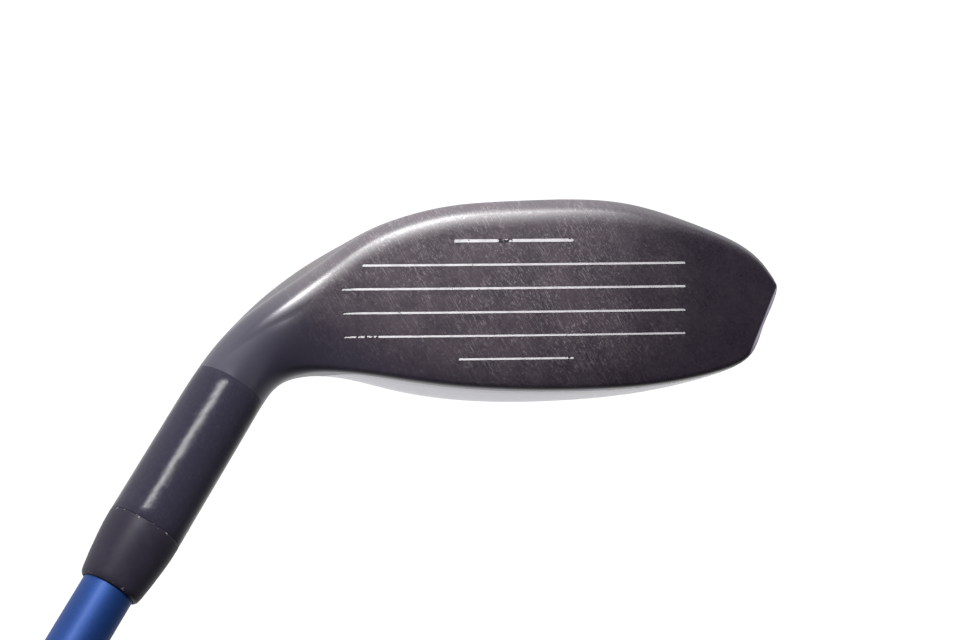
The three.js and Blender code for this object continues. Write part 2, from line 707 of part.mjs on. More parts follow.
addNode('head_body', toGeometry(headBody()), SATIN_BLACK);
addNode('face_plate', toGeometry(facePlate()), GUNMETAL);
addNode('crown_plate', toGeometry(crownPlate()), PEARL_WHITE);
addNode('sole_weight', toGeometry(soleWeight()), TUNGSTEN);
addNode('ferrule', ferrule(), GLOSS_BLACK);
addNode('shaft', shaft(), SHAFT_BLUE);
addNode('tip_weight_pin', tipPin(), BRASS);
addNode('grip_tape', gripTape(), TAPE_PAPER);
addNode('grip_sleeve', gripSleeve(), GRIP_RUBBER);
addNode('grip_cap', gripCap(), CAP_RUBBER);

export default club;
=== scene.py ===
"""Looks of the hybrid golf club. Metres in Blender; dimensions below are millimetres, times MM."""

import math

import bmesh
import bpy
import numpy as np
from mathutils import Matrix, Vector


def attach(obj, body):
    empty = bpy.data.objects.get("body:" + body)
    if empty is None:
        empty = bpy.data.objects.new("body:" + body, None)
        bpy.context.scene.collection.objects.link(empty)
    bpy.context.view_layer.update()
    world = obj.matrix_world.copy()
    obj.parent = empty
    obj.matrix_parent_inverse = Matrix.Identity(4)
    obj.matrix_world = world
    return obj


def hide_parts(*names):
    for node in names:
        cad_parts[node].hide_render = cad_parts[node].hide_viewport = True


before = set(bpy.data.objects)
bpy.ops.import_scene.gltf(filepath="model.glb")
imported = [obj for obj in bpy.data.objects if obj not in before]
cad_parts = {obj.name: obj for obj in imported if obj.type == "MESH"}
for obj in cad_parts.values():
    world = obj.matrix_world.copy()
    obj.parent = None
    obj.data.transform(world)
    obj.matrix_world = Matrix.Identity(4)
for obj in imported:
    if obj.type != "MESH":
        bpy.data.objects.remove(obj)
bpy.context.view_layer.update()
MM = 0.001

# ---------------------------------------------------------------- club dimensions, as in the CAD
LOFT = math.radians(22)
LIE = math.radians(59.2)
FACE_LEVEL = 17.4
LEADING_EDGE = -3.54
FACE_CENTRE_UP = 13.5
BULGE_RADIUS = 340.0
ROLL_RADIUS = 340.0
TOP_LINE_RADIUS = 1.2
SOLE_DIP = 0.25
CLUB_LENGTH = 1010.0
AXIS_FOOT = np.array([30.25, -7.5, 0.0])
NECK_END = 46.0
HOSEL_TOP = 69.0
HOSEL_RADIUS = 6.6
HOSEL_TOP_RADIUS = 6.7
HOSEL_PAINT_START = 39.8          # the glossy black paint is masked off here, along the axis
FERRULE_LENGTH = 12.1
SHAFT_TIP_RADIUS = 4.7
SHAFT_WALL = 1.1
SHAFT_START = 50.0                # its tip, deep in the hosel
SHAFT_TIP_END = 85.0
SHAFT_BUTT_RADIUS = 7.6
GRIP_LENGTH = 268.0
GRIP_CAP_LENGTH = 7.0
VENT_RADIUS = 0.9
GRIP_MOUTH_RADIUS = 9.2
GRIP_BUTT_RADIUS = 13.6
GRIP_BORE_CLEARANCE = 0.6         # room for the tape between shaft and grip
GAP = 0.3
FERRULE_START = HOSEL_TOP + GAP
HOSEL_LIP = 0.12                  # the hosel's rim closes most of the gap to the ferrule
HOSEL_BORE_RADIUS = 5.1
HOSEL_BORE_DEPTH = 20.0

# (low x, low up), (high x, high up), depth, back height, keel height, lead radius, hosel share
STATIONS = [
    ((-48.5, 16.1), (-48.5, 16.1), 6.0, 16.6, 15.9, 1.0, 0.0),
    ((-47.3, 13.6), (-47.75, 19.6), 13.0, 15.9, 12.9, 1.1, 0.0),
    ((-45.2, 11.05), (-45.95, 23.7), 21.5, 15.0, 9.8, 1.3, 0.0),
    ((-41.5, 8.3), (-43.65, 28.6), 30.0, 13.9, 6.9, 1.5, 0.0),
    ((-36.0, 5.75), (-38.0, 31.35), 38.5, 12.7, 4.4, 1.7, 0.0),
    ((-29.2, 3.2), (-30.2, 33.0), 47.5, 11.7, 2.2, 2.3, 0.0),
    ((-20.5, 0.85), (-21.1, 34.0), 54.5, 11.2, 0.8, 3.0, 0.0),
    ((-10.5, 0.1), (-10.5, 34.3), 58.5, 11.0, 0.25, 3.2, 0.0),
    ((0.0, 0.35), (0.0, 34.1), 59.5, 11.0, 0.0, 3.2, 0.0),
    ((10.5, 1.1), (10.5, 33.35), 57.0, 11.2, 0.35, 3.2, 0.0),
    ((19.5, 3.2), (19.5, 32.1), 50.5, 11.8, 1.6, 3.3, 0.0),
    ((27.0, 6.45), (26.5, 31.0), 41.5, 12.8, 4.0, 3.4, 0.0),
    ((34.05, 11.35), (32.3, 30.55), 32.0, 14.5, 7.2, 3.6, 0.06),
    ((40.5, 15.6), (36.9, 30.95), 24.5, 17.0, 10.6, 4.0, 0.28),
    ((46.35, 19.5), (40.8, 32.1), 19.0, 20.5, 14.3, 4.6, 0.58),
    ((51.95, 24.2), (43.7, 34.3), 15.5, 25.5, 18.8, 5.4, 0.85),
    ((56.4, 29.5), (46.0, 37.4), 13.5, 31.0, 23.5, 6.2, 1.0),
]

# Score lines: up the face from the leading edge, heel end, toe end, width.
SCORE_LINES = [
    (7.35, 10.7, -10.7, 0.66),
    (11.6, 27.0, -31.2, 0.5),
    (15.8, 30.7, -31.2, 0.5),
    (20.05, 30.5, -31.2, 0.48),
    (24.25, 30.3, -31.2, 0.46),
    (28.4, 10.0, -10.7, 0.46),
]
GROOVE_DEPTH = 0.45
PAINT_DEPTH = 0.05                # the white fill sits this far below the face

# ---------------------------------------------------------------- frames
SIN, COS = math.sin(LOFT), math.cos(LOFT)
FACE_NORMAL = np.array([0.0, -COS, SIN])
FACE_UP = np.array([0.0, SIN, COS])
AXIS = np.array([math.cos(LIE), 0.0, math.sin(LIE)])
HOSEL_ACROSS = np.cross(FACE_NORMAL, AXIS)
HOSEL_ACROSS /= np.linalg.norm(HOSEL_ACROSS)
HOSEL_FRONT = np.cross(AXIS, HOSEL_ACROSS)
AXIS_UP = float(AXIS_FOOT @ FACE_UP)


def along_axis(distance):
    return AXIS_FOOT + AXIS * distance


def face_to_model(x, up, out):
    x, up, out = np.broadcast_arrays(x, up, out)
    place = up[..., None] * FACE_UP + out[..., None] * FACE_NORMAL
    place[..., 0] += x
    return place


def face_level(x, up):
    rise = up - FACE_CENTRE_UP
    return FACE_LEVEL - x * x / (2 * BULGE_RADIUS) - rise * rise / (2 * ROLL_RADIUS)


# ---------------------------------------------------------------- head surface
def neck_station():
    centre = along_axis(NECK_END)
    up = float(centre @ FACE_UP) - LEADING_EDGE
    dx = HOSEL_RADIUS * HOSEL_ACROSS[0]
    d_up = HOSEL_RADIUS * float(HOSEL_ACROSS @ FACE_UP)
    return (
        (centre[0] - dx, up - d_up), (centre[0] + dx, up + d_up),
        2 * HOSEL_RADIUS, centre[2], centre[2] - HOSEL_RADIUS, HOSEL_RADIUS, 1.0,
    )


def natural_spline(values):
    """Smooth curve through values at 0, 1, 2 ...: a natural cubic spline."""
    values = np.asarray(values, float)
    count = len(values)
    system = np.eye(count)
    right = np.zeros_like(values)
    for i in range(1, count - 1):
        system[i, i - 1:i + 2] = (1, 4, 1)
        right[i] = 6 * (values[i + 1] - 2 * values[i] + values[i - 1])
    bend = np.linalg.solve(system, right)

    def evaluate(s):
        i = min(max(int(math.floor(s)), 0), count - 2)
        t = s - i
        r = 1 - t
        return (r * values[i] + t * values[i + 1]
                + (r ** 3 - r) * bend[i] / 6 + (t ** 3 - t) * bend[i + 1] / 6)
    return evaluate


stations = STATIONS + [neck_station()]
LAST = len(stations) - 1
outline = natural_spline([s[0] for s in reversed(stations)] + [s[1] for s in stations[1:]])
body_curve = natural_spline([s[2:6] for s in stations])
share_curve = natural_spline([[s[6]] for s in stations])

# The leading edge turns on one radius, then eases into the face on a longer one.
EASE_ANGLE = math.radians(15)
EASE_RADIUS = 2.8
LEAD_REACH = 1 - math.sin(EASE_ANGLE) + EASE_RADIUS * math.sin(EASE_ANGLE)
LEAD_DROP = EASE_RADIUS * (1 - math.cos(EASE_ANGLE)) + math.cos(EASE_ANGLE)


def lead_profile(t):
    """Up the face and out from it, for a radius of 1, from the edge (t = 0) to the face (1)."""
    tilt = (1 - t) * math.pi / 2
    eased = tilt < EASE_ANGLE
    eased_up = LEAD_REACH - EASE_RADIUS * np.sin(tilt)
    eased_out = EASE_RADIUS * (1 - np.cos(tilt))
    up = np.where(eased, eased_up, 1 - np.sin(tilt))
    out = np.where(eased, eased_out, LEAD_DROP - np.cos(tilt))
    return np.stack([up, -out], -1)


# The runs of a section, in order round it, and the angle each starts at where the section is round.
LEAD, FACE, TOP_LINE, CROWN, TRAILING, SOLE, FRONT = range(7)
TURN = np.radians([0, 50, 130, 180, 252, 276, 334, 360])
CROWN_START = math.radians(12)    # fall of the crown away from the top line
LEAD_SHARE = 0.42                 # most of a narrow section's width that the leading edge takes
TOP_LINE_SHARE = 0.3              # the same for the top line
TRAILING_HALF, TRAILING_SHARE = 3.2, 0.11
TRAILING_BULGE = 0.8
FULL_WIDTH, FULL_DEPTH = 20.0, 40.0
SOLE_LINE = 14.5                  # the sole's lowest line, behind the leading edge
BOW_FADE = 12.0                   # depth over which the face's bulge fades out

# The pulls at each curve's two ends, backwards and up, as shares of the curve's own length.
PULLS = {
    CROWN: ((0.4433, -0.0781), (-0.2112, 0.24)),
    TRAILING: ((0.744, -0.948), (1.02, 0.636)),
    SOLE: ((-0.3, -0.12), (0.33, 0.0)),
    FRONT: ((-0.45, 0.0), (0.3 * COS, -0.3 * SIN)),
}


def bezier(start, start_pull, end_pull, end, t):
    t = t[:, None]
    r = 1 - t
    return (r ** 3 * start + 3 * r * r * t * (start + start_pull)
            + 3 * r * t * t * (end + end_pull) + t ** 3 * end)


def section_curves(s, low_up, width, level, lead_r, top_r):
    """Ends and length of each curved run of a section, backwards and up from the ground."""
    depth, back, keel, _ = body_curve(s)

    def side(u, v):
        up, out = LEADING_EDGE + low_up + u, level + v
        return np.array([up * SIN - out * COS, up * COS + out * SIN])

    lowest = side(0, -LEAD_DROP * lead_r)
    top = side(width - top_r + top_r * math.cos(CROWN_START), top_r * (math.sin(CROWN_START) - 1))
    half = min(TRAILING_HALF, TRAILING_SHARE * depth) * min(1.0, width / FULL_WIDTH)
    back_end = lowest[0] + depth - TRAILING_BULGE
    back_top, back_low = np.array([back_end, back + half]), np.array([back_end, back - half])
    ground = np.array([lowest[0] + SOLE_LINE * min(1.0, depth / FULL_DEPTH), keel - SOLE_DIP])
    return {
        CROWN: (top, back_top, np.linalg.norm(back_top - top)),
        TRAILING: (back_top, back_low, half),
        SOLE: (back_low, ground, back_end - ground[0]),
        FRONT: (ground, lowest, ground[0] - lowest[0]),
    }


def flat_section(s, low_up, width, level, lead_r, top_r, run, t):
    """Section of the head's body: distance up from its low edge, and out from the lead's start."""
    flat = np.zeros((len(t), 2))
    here = run == LEAD
    flat[here] = lead_r * lead_profile(t[here])
    here = run == FACE
    flat[here, 0] = LEAD_REACH * lead_r + (width - top_r - LEAD_REACH * lead_r) * t[here]
    here = run == TOP_LINE
    angle = math.pi / 2 + (CROWN_START - math.pi / 2) * t[here]
    flat[here] = np.stack([width - top_r + top_r * np.cos(angle), top_r * (np.sin(angle) - 1)], -1)
    for name, (start, end, length) in section_curves(s, low_up, width, level, lead_r, top_r).items():
        here = run == name
        start_pull, end_pull = (np.array(pull) * length for pull in PULLS[name])
        place = bezier(start, start_pull, end_pull, end, t[here])
        place[:, 1] = np.maximum(place[:, 1], 0.0)
        up = place[:, 0] * SIN + place[:, 1] * COS
        out = -place[:, 0] * COS + place[:, 1] * SIN
        flat[here] = np.stack([up - LEADING_EDGE - low_up, out - level], -1)
    flat[:, 1] += lead_r
    return flat


def head_ring(s, q):
    """Points of the head's skin at station s, for an array of places q round the section (0 to 7)."""
    low, high = outline(LAST - s), outline(LAST + s)
    share = min(max(float(share_curve(s)[0]), 0.0), 1.0)
    width = np.linalg.norm(high - low)
    across = (high - low) / max(width, 1e-9)
    centre = (low + high) / 2
    level = face_level(centre[0], LEADING_EDGE + centre[1])
    lead_r = min(body_curve(s)[3], width * LEAD_SHARE)
    top_r = min(TOP_LINE_RADIUS, width * TOP_LINE_SHARE)

    run = np.minimum(np.floor(q).astype(int), FRONT)
    t = q - run
    flat = flat_section(s, low[1], width, level, lead_r, top_r, run, t)
    turn = TURN[run] + (TURN[run + 1] - TURN[run]) * t
    round_ = np.stack([width / 2 * (1 - np.cos(turn)), width / 2 * np.sin(turn)], -1)
    flat = flat * (1 - share) + round_ * share

    along = (LEADING_EDGE + centre[1] - AXIS_UP) / float(AXIS @ FACE_UP)
    axis_out = float(along_axis(along) @ FACE_NORMAL)
    base = (level - lead_r) * (1 - share) + axis_out * share
    x = low[0] + across[0] * flat[:, 0]
    up = LEADING_EDGE + low[1] + across[1] * flat[:, 0]
    bow = (face_level(x, up) - level) * (1 - share)
    bow *= np.where(run <= TOP_LINE, 1.0, np.maximum(0, 1 + (flat[:, 1] - lead_r) / BOW_FADE))
    outward = FACE_NORMAL * (1 - share) + HOSEL_FRONT * share
    outward /= np.linalg.norm(outward)
    return face_to_model(x, up, base) + (flat[:, 1] + bow)[:, None] * outward


def hosel_ring(distance, radius, q):
    run = np.minimum(np.floor(q).astype(int), FRONT)
    turn = TURN[run] + (TURN[run + 1] - TURN[run]) * (q - run)
    return (along_axis(distance) - radius * np.cos(turn)[:, None] * HOSEL_ACROSS
            + radius * np.sin(turn)[:, None] * HOSEL_FRONT)


# ---------------------------------------------------------------- mesh helpers
def closed_mesh(points, faces):
    mesh = bpy.data.meshes.new("part")
    mesh.from_pydata([tuple(p) for p in np.asarray(points) * MM], [], faces)
    bm = bmesh.new()
    bm.from_mesh(mesh)
    bmesh.ops.remove_doubles(bm, verts=bm.verts, dist=1e-7)
    bmesh.ops.recalc_face_normals(bm, faces=bm.faces)
    bm.to_mesh(mesh)
    bm.free()
    return mesh


def add_object(name, mesh):
    made = bpy.data.objects.new(name, mesh)
    bpy.context.scene.collection.objects.link(made)
    return made


def finish_piece(piece, material, replaces=(), smooth_angle=30):
    """A piece rides on the club's one body, smooth except at real edges."""
    piece.data.shade_smooth()
    piece.data.set_sharp_from_angle(angle=math.radians(smooth_angle))
    if material:
        piece.data.materials.clear()
        piece.data.materials.append(material)
    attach(piece, "root")
    if replaces:
        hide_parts(*replaces)
    return piece


def cut(piece, cutters):
    """Take closed bodies out of a piece, then drop them."""
    for cutter in cutters:
        change = piece.modifiers.new("cut", "BOOLEAN")
        change.object = cutter
        change.operation = "DIFFERENCE"
        change.solver = "EXACT"
    depsgraph = bpy.context.evaluated_depsgraph_get()
    result = bpy.data.meshes.new_from_object(piece.evaluated_get(depsgraph))
    piece.modifiers.clear()
    piece.data = result
    for cutter in cutters:
        bpy.data.objects.remove(cutter)


def ring_faces(rings, count):
    faces = []
    for i in range(rings - 1):
        for j in range(count):
            k = (j + 1) % count
            faces.append((i * count + j, (i + 1) * count + j, (i + 1) * count + k, i * count + k))
    return faces


def turned(name, profile, material, replaces=(), segments=96, smooth_angle=30):
    """A turned piece about the shaft axis. profile holds (radius, distance from the ground), closed."""
    angles = np.linspace(0, 2 * math.pi, segments, endpoint=False)
    spokes = np.cos(angles)[:, None] * HOSEL_ACROSS + np.sin(angles)[:, None] * HOSEL_FRONT
    points = np.concatenate([along_axis(d) + r * spokes for r, d in profile])
    faces = ring_faces(len(profile), segments)
    last = (len(profile) - 1) * segments
    faces += [(last + j, j, (j + 1) % segments, last + (j + 1) % segments) for j in range(segments)]
    piece = add_object(name, closed_mesh(points, faces))
    return finish_piece(piece, material, replaces, smooth_angle)


def steps(counts):
    """Places round the section: counts[run] steps in each run."""
    return np.concatenate([run + np.arange(n) / n for run, n in enumerate(counts)])


# ---------------------------------------------------------------- materials
class Nodes:
    """Short calls for building a shader's nodes."""

    def __init__(self, name):
        self.material = bpy.data.materials.new(name)
        self.material.use_nodes = True
        self.tree = self.material.node_tree
        self.tree.nodes.clear()
        self.shader = self.tree.nodes.new("ShaderNodeBsdfPrincipled")
        output = self.tree.nodes.new("ShaderNodeOutputMaterial")
        self.tree.links.new(self.shader.outputs[0], output.inputs["Surface"])
        place = self.tree.nodes.new("ShaderNodeTexCoord")
        self.position = self.scaled(place.outputs["Object"], 1000)

    def feed(self, socket, value):
        if isinstance(value, bpy.types.NodeSocket):
            self.tree.links.new(value, socket)
        else:
            socket.default_value = value

    def scaled(self, vector, size):
        node = self.tree.nodes.new("ShaderNodeVectorMath")
        node.operation = "SCALE"
        self.feed(node.inputs[0], vector)
        node.inputs["Scale"].default_value = size
        return node.outputs[0]

    def dot(self, vector, direction):
        node = self.tree.nodes.new("ShaderNodeVectorMath")
        node.operation = "DOT_PRODUCT"
        self.feed(node.inputs[0], vector)
        node.inputs[1].default_value = tuple(direction)
        return node.outputs["Value"]

    def along_axis(self):
        """Distance from the ground along the shaft's axis."""
        return self.math("SUBTRACT", self.dot(self.position, AXIS), float(AXIS_FOOT @ AXIS))

    def math(self, operation, a, b=0.0, c=0.0, clamp=False):
        node = self.tree.nodes.new("ShaderNodeMath")
        node.operation = operation
        node.use_clamp = clamp
        self.feed(node.inputs[0], a)
        self.feed(node.inputs[1], b)
        self.feed(node.inputs[2], c)
        return node.outputs[0]

    def vector(self, x, y, z=0.0):
        node = self.tree.nodes.new("ShaderNodeCombineXYZ")
        self.feed(node.inputs[0], x)
        self.feed(node.inputs[1], y)
        self.feed(node.inputs[2], z)
        return node.outputs[0]

    def noise(self, vector, scale=1.0, detail=2.0, roughness=0.5):
        node = self.tree.nodes.new("ShaderNodeTexNoise")
        self.feed(node.inputs["Vector"], vector)
        node.inputs["Scale"].default_value = scale
        node.inputs["Detail"].default_value = detail
        node.inputs["Roughness"].default_value = roughness
        return node.outputs[0]

    def step(self, value, start, end, low=0.0, high=1.0, smooth=True):
        node = self.tree.nodes.new("ShaderNodeMapRange")
        node.interpolation_type = "SMOOTHSTEP" if smooth else "LINEAR"
        self.feed(node.inputs["Value"], value)
        node.inputs["From Min"].default_value = start
        node.inputs["From Max"].default_value = end
        node.inputs["To Min"].default_value = low
        node.inputs["To Max"].default_value = high
        return node.outputs["Result"]

    def mix(self, share, a, b):
        node = self.tree.nodes.new("ShaderNodeMix")
        node.data_type = "RGBA"
        self.feed(node.inputs[0], share)
        self.feed(node.inputs[6], a)
        self.feed(node.inputs[7], b)
        return node.outputs[2]

    def blend(self, share, a, b):
        node = self.tree.nodes.new("ShaderNodeMix")
        self.feed(node.inputs[0], share)
        self.feed(node.inputs[2], a)
        self.feed(node.inputs[3], b)
        return node.outputs[0]

    def bump(self, height, distance_mm, strength=1.0, normal=None):
        node = self.tree.nodes.new("ShaderNodeBump")
        node.inputs["Strength"].default_value = strength
        node.inputs["Distance"].default_value = distance_mm * MM
        self.feed(node.inputs["Height"], height)
        if normal is not None:
            self.feed(node.inputs["Normal"], normal)
        return node.outputs[0]

    def set(self, **values):
        for name, value in values.items():
            self.feed(self.shader.inputs[name.replace("_", " ")], value)


def colour(red, green, blue):
    """A colour given as 0-255 display values."""
    def linear(value):
        value /= 255
        return value / 12.92 if value <= 0.04045 else ((value + 0.055) / 1.055) ** 2.4
    return (linear(red), linear(green), linear(blue), 1.0)


def streaks(n, angle, length, width, level, seed):
    """Thin straight scratches in the face plane, running at an angle to the score lines."""
    across, up = n.dot(n.position, (1, 0, 0)), n.dot(n.position, FACE_UP)
    c, s = math.cos(math.radians(angle)), math.sin(math.radians(angle))
    along = n.math("ADD", n.math("MULTIPLY", across, c), n.math("MULTIPLY", up, s))
    aside = n.math("SUBTRACT", n.math("MULTIPLY", up, c), n.math("MULTIPLY", across, s))
    wander = n.math("MULTIPLY", n.noise(n.position, 0.08, 1), 1.6)
    aside = n.math("ADD", aside, wander)
    place = n.vector(n.math("DIVIDE", along, length), n.math("DIVIDE", aside, width), seed)
    return n.step(n.noise(place, 1.0, 1.0, 0.4), level, level + 0.07)


# The straight side of the toe, above its tip: outward direction in the face, and reach. A painted highlight
# runs along it.
TOE_SIDE = (-0.923, 0.383)
TOE_SIDE_REACH = 49.83

# The worn middle of the face: its centre, where it starts to fade and where it ends, across and up.
WORN_ACROSS = (8, 8, 50)
WORN_UP = (9, 8, 26)
NECK_SHADE_FADE = (13, 30)              # painted shade: the neck's darker, less reflective look sets in over this stretch of the axis


def worn_zone(n, distance, centre, start, end):
    """One in the middle of the worn zone, fading to nothing outside it."""
    offset = n.math("ABSOLUTE", n.math("SUBTRACT", distance, centre))
    return n.math("SUBTRACT", 1, n.step(offset, start, end))


def face_scratches(n, worn):
    """Fine crossing scratches in speckled patches, a few long ones, and nicks."""
    speckle = n.step(n.noise(n.position, 2.3, 3, 0.7), 0.40, 0.62)
    fine = streaks(n, 122, 1.2, 0.12, 0.57, 1.3)
    cross = streaks(n, 138, 1.5, 0.12, 0.60, 23.1)
    long = streaks(n, 119, 4.5, 0.11, 0.66, 7.7)
    odd = streaks(n, 66, 2.6, 0.12, 0.67, 41.9)
    nicks = n.step(n.noise(n.position, 1.4, 1, 0.5), 0.71, 0.76)
    short = n.math("MULTIPLY", n.math("MAXIMUM", fine, cross), speckle)
    marks = n.math("MAXIMUM", n.math("MULTIPLY", odd, 0.7), nicks)
    lines = n.math("MAXIMUM", n.math("MAXIMUM", short, long), marks)
    amount = n.math("ADD", n.math("MULTIPLY", worn, 0.9), 0.03)
    return n.math("MULTIPLY", lines, amount, clamp=True)


def head_material():
    """Satin gunmetal: scratched and duller in the worn middle; painted shade makes it violet black and less
    reflective towards the hosel, and a painted highlight runs along the toe's straight side.
    """
    n = Nodes("satin_gunmetal")
    across, up = n.dot(n.position, (1, 0, 0)), n.dot(n.position, FACE_UP)
    used = n.math("MULTIPLY", worn_zone(n, across, *WORN_ACROSS), worn_zone(n, up, *WORN_UP))
    patchy = n.step(n.noise(n.position, 0.11, 4, 0.6), 0.36, 0.62, 0.3, 1.0)
    scratched = face_scratches(n, n.math("MULTIPLY", used, patchy))
    neck_shade_zone = n.step(n.along_axis(), *NECK_SHADE_FADE)
    cloud = n.noise(n.position, 0.16, 5, 0.65)
    grain = n.noise(n.position, 2.6, 3, 0.7)

    polished = n.mix(n.step(cloud, 0.35, 0.65), colour(46, 26, 47), colour(58, 35, 54))
    base = n.mix(n.step(used, 0, 0.9), colour(31, 18, 38), polished)
    base = n.mix(n.step(grain, 0.3, 0.7, 0, 0.4), base, colour(20, 11, 22))
    base = n.mix(n.math("MULTIPLY", scratched, 0.6), base, colour(190, 180, 184))
    # Painted shade: over the neck the satin metal's base turns violet black, like the hosel paint.
    base = n.mix(n.math("MULTIPLY", neck_shade_zone, 0.9), base, colour(50, 48, 61))
    # Painted highlight: a pale lavender strip along the toe's straight side stands for the light its
    # rounded edge catches.
    reach = n.math("ADD", n.math("MULTIPLY", across, TOE_SIDE[0]), n.math("MULTIPLY", up, TOE_SIDE[1]))
    toe_painted_highlight = n.step(reach, TOE_SIDE_REACH - 0.5, TOE_SIDE_REACH - 0.1, 0, 0.8)
    base = n.mix(toe_painted_highlight, base, colour(205, 198, 220))

    rough = n.math("ADD", n.step(cloud, 0.3, 0.7, -0.03, 0.03), n.step(grain, 0.3, 0.7, -0.04, 0.06))
    rough = n.math("ADD", rough, n.step(used, 0, 0.8, 0.31, 0.43))
    rough = n.blend(neck_shade_zone, rough, 0.32)
    # Painted shade: the specular tint dims the reflection over the neck.
    shine = n.mix(neck_shade_zone, (1, 1, 1, 1), (0.36, 0.35, 0.4, 1))
    height = n.math("ADD", n.math("MULTIPLY", grain, 0.5), n.math("MULTIPLY", scratched, -0.8))
    height = n.math("MULTIPLY", height, n.math("SUBTRACT", 1, n.math("MULTIPLY", neck_shade_zone, 0.85)))
    n.set(Base_Color=base, Roughness=rough, Metallic=n.math("MULTIPLY", scratched, 0.4),
          Specular_Tint=shine, Normal=n.bump(height, 0.012))
    n.shader.inputs["IOR"].default_value = 2.3
    return n.material


def hosel_material():
    """Glossy black paint with dust, fine handling scuffs and a slightly wavy surface."""
    n = Nodes("gloss_black_paint")
    dust = n.noise(n.position, 1.5, 5, 0.7)
    along, across = n.dot(n.position, AXIS), n.dot(n.position, HOSEL_ACROSS)
    stretched = n.vector(n.math("MULTIPLY", along, 0.25), across, 4.2)
    scuff = n.step(n.noise(stretched, 1.6, 4, 0.7), 0.58, 0.7)
    base = n.mix(n.step(dust, 0.45, 0.75, 0, 0.6), colour(50, 48, 61), colour(60, 58, 71))
    rough = n.math("ADD", n.step(dust, 0.3, 0.7, 0.17, 0.24), n.math("MULTIPLY", scuff, 0.18))
    wave = n.math("ADD", n.noise(n.position, 0.3, 2), n.math("MULTIPLY", scuff, 0.1))
    n.set(Base_Color=base, Roughness=rough, Normal=n.bump(wave, 0.06))
    n.shader.inputs["IOR"].default_value = 1.22
    return n.material


# Where the groove paint has flaked: across the face, up it, half length.
WORN_SPOTS = [(1.6, 7.35, 1.5), (26.2, 24.25, 2.2)]


def paint_material():
    """White groove paint, a little dirty and chipped, with painted shade darkening it towards the toe."""
    n = Nodes("groove_paint")
    across = n.dot(n.position, (1, 0, 0))
    chips = n.step(n.noise(n.position, 0.8, 3, 0.6), 0.66, 0.69)
    up = n.dot(n.position, FACE_UP)
    for middle, line_up, reach in WORN_SPOTS:
        near = n.step(n.math("ABSOLUTE", n.math("SUBTRACT", across, middle)), reach, reach - 0.4)
        level = n.math("ABSOLUTE", n.math("SUBTRACT", up, line_up + LEADING_EDGE))
        near = n.math("MULTIPLY", near, n.step(level, 0.7, 0.5))
        flaked = n.step(n.noise(n.position, 1.5, 3, 0.6), 0.46, 0.52)
        chips = n.math("MAXIMUM", chips, n.math("MULTIPLY", near, flaked))
    dirt = n.step(n.noise(n.position, 0.5, 4, 0.6), 0.4, 0.75, 0, 0.5)
    base = n.mix(dirt, colour(236, 234, 238), colour(170, 166, 172))
    # Painted shade: the paint darkens towards the toe.
    base = n.mix(n.step(across, 15, -34, 0, 0.5), base, colour(150, 147, 152))
    base = n.mix(chips, base, colour(40, 36, 42))
    n.set(Base_Color=base, Roughness=0.6, Normal=n.bump(n.noise(n.position, 3, 3), 0.03))
    return n.material


def pearl_material():
    """Pearl white paint, with painted shade: greyer lavender along the top line."""
    n = Nodes("pearl_paint")
    flake = n.noise(n.position, 9, 2, 0.7)
    cloud = n.noise(n.position, 0.05, 2)
    base = n.mix(n.step(cloud, 0.35, 0.65), colour(240, 237, 252), colour(245, 243, 253))
    base = n.mix(n.step(flake, 0.55, 0.75, 0, 0.5), base, colour(250, 248, 253))
    # Painted shade: greyer lavender over the first millimetres behind the face, along the top line.
    behind = n.math("SUBTRACT", FACE_LEVEL, n.dot(n.position, FACE_NORMAL))
    base = n.mix(n.step(behind, 1, 7, 1, 0, smooth=False), base, colour(170, 165, 186))
    peel = n.bump(n.noise(n.position, 0.9, 2), 0.01)
    n.set(Base_Color=base, Roughness=n.step(flake, 0.3, 0.7, 0.26, 0.34), Normal=peel)
    n.shader.inputs["IOR"].default_value = 1.5
    return n.material


def ferrule_material():
    """Dull black plastic, scuffed, with small chips along both edges."""
    n = Nodes("ferrule_plastic")
    along = n.along_axis()
    end = FERRULE_START + FERRULE_LENGTH
    lower_edge = n.step(along, FERRULE_START + 0.7, FERRULE_START + 0.1)
    edge = n.math("MAXIMUM", lower_edge, n.step(along, end - 0.9, end - 0.3))
    chips = n.math("MULTIPLY", edge, n.step(n.noise(n.position, 1.1, 3, 0.7), 0.60, 0.66))
    scuffs = n.step(n.noise(n.position, 0.5, 6, 0.7), 0.45, 0.7)
    base = n.mix(n.math("MULTIPLY", scuffs, 0.4), colour(46, 43, 55), colour(54, 51, 63))
    base = n.mix(chips, base, colour(150, 146, 154))
    rough = n.math("ADD", n.step(scuffs, 0, 1, 0.42, 0.5), n.math("MULTIPLY", chips, 0.3))
    height = n.math("ADD", n.math("MULTIPLY", scuffs, 0.2), n.math("MULTIPLY", chips, -3))
    n.set(Base_Color=base, Roughness=rough, Normal=n.bump(height, 0.02))
    n.shader.inputs["IOR"].default_value = 1.22
    return n.material


def shaft_material():
    n = Nodes("metallic_blue_lacquer")
    flake = n.noise(n.position, 14, 1, 0.5)
    cloud = n.noise(n.position, 0.03, 2)
    base = n.mix(n.step(cloud, 0.4, 0.6), colour(22, 55, 116), colour(26, 62, 126))
    base = n.mix(n.step(flake, 0.5, 0.8, 0, 0.6), base, colour(50, 104, 186))
    n.set(Base_Color=base, Roughness=n.step(flake, 0.3, 0.7, 0.52, 0.62), Metallic=0.6,
          Normal=n.bump(flake, 0.004))
    n.shader.inputs["Coat Weight"].default_value = 0.08
    n.shader.inputs["Coat Roughness"].default_value = 0.3
    return n.material


GRIP_HELIX = (14, 1.15)           # diamonds round the grip, and turn of the pattern per millimetre
GRIP_BAND_SPACING = 62.0          # from one plain band to the next
GRIP_COLLAR = 12.0                # plain stretch at the grip's mouth


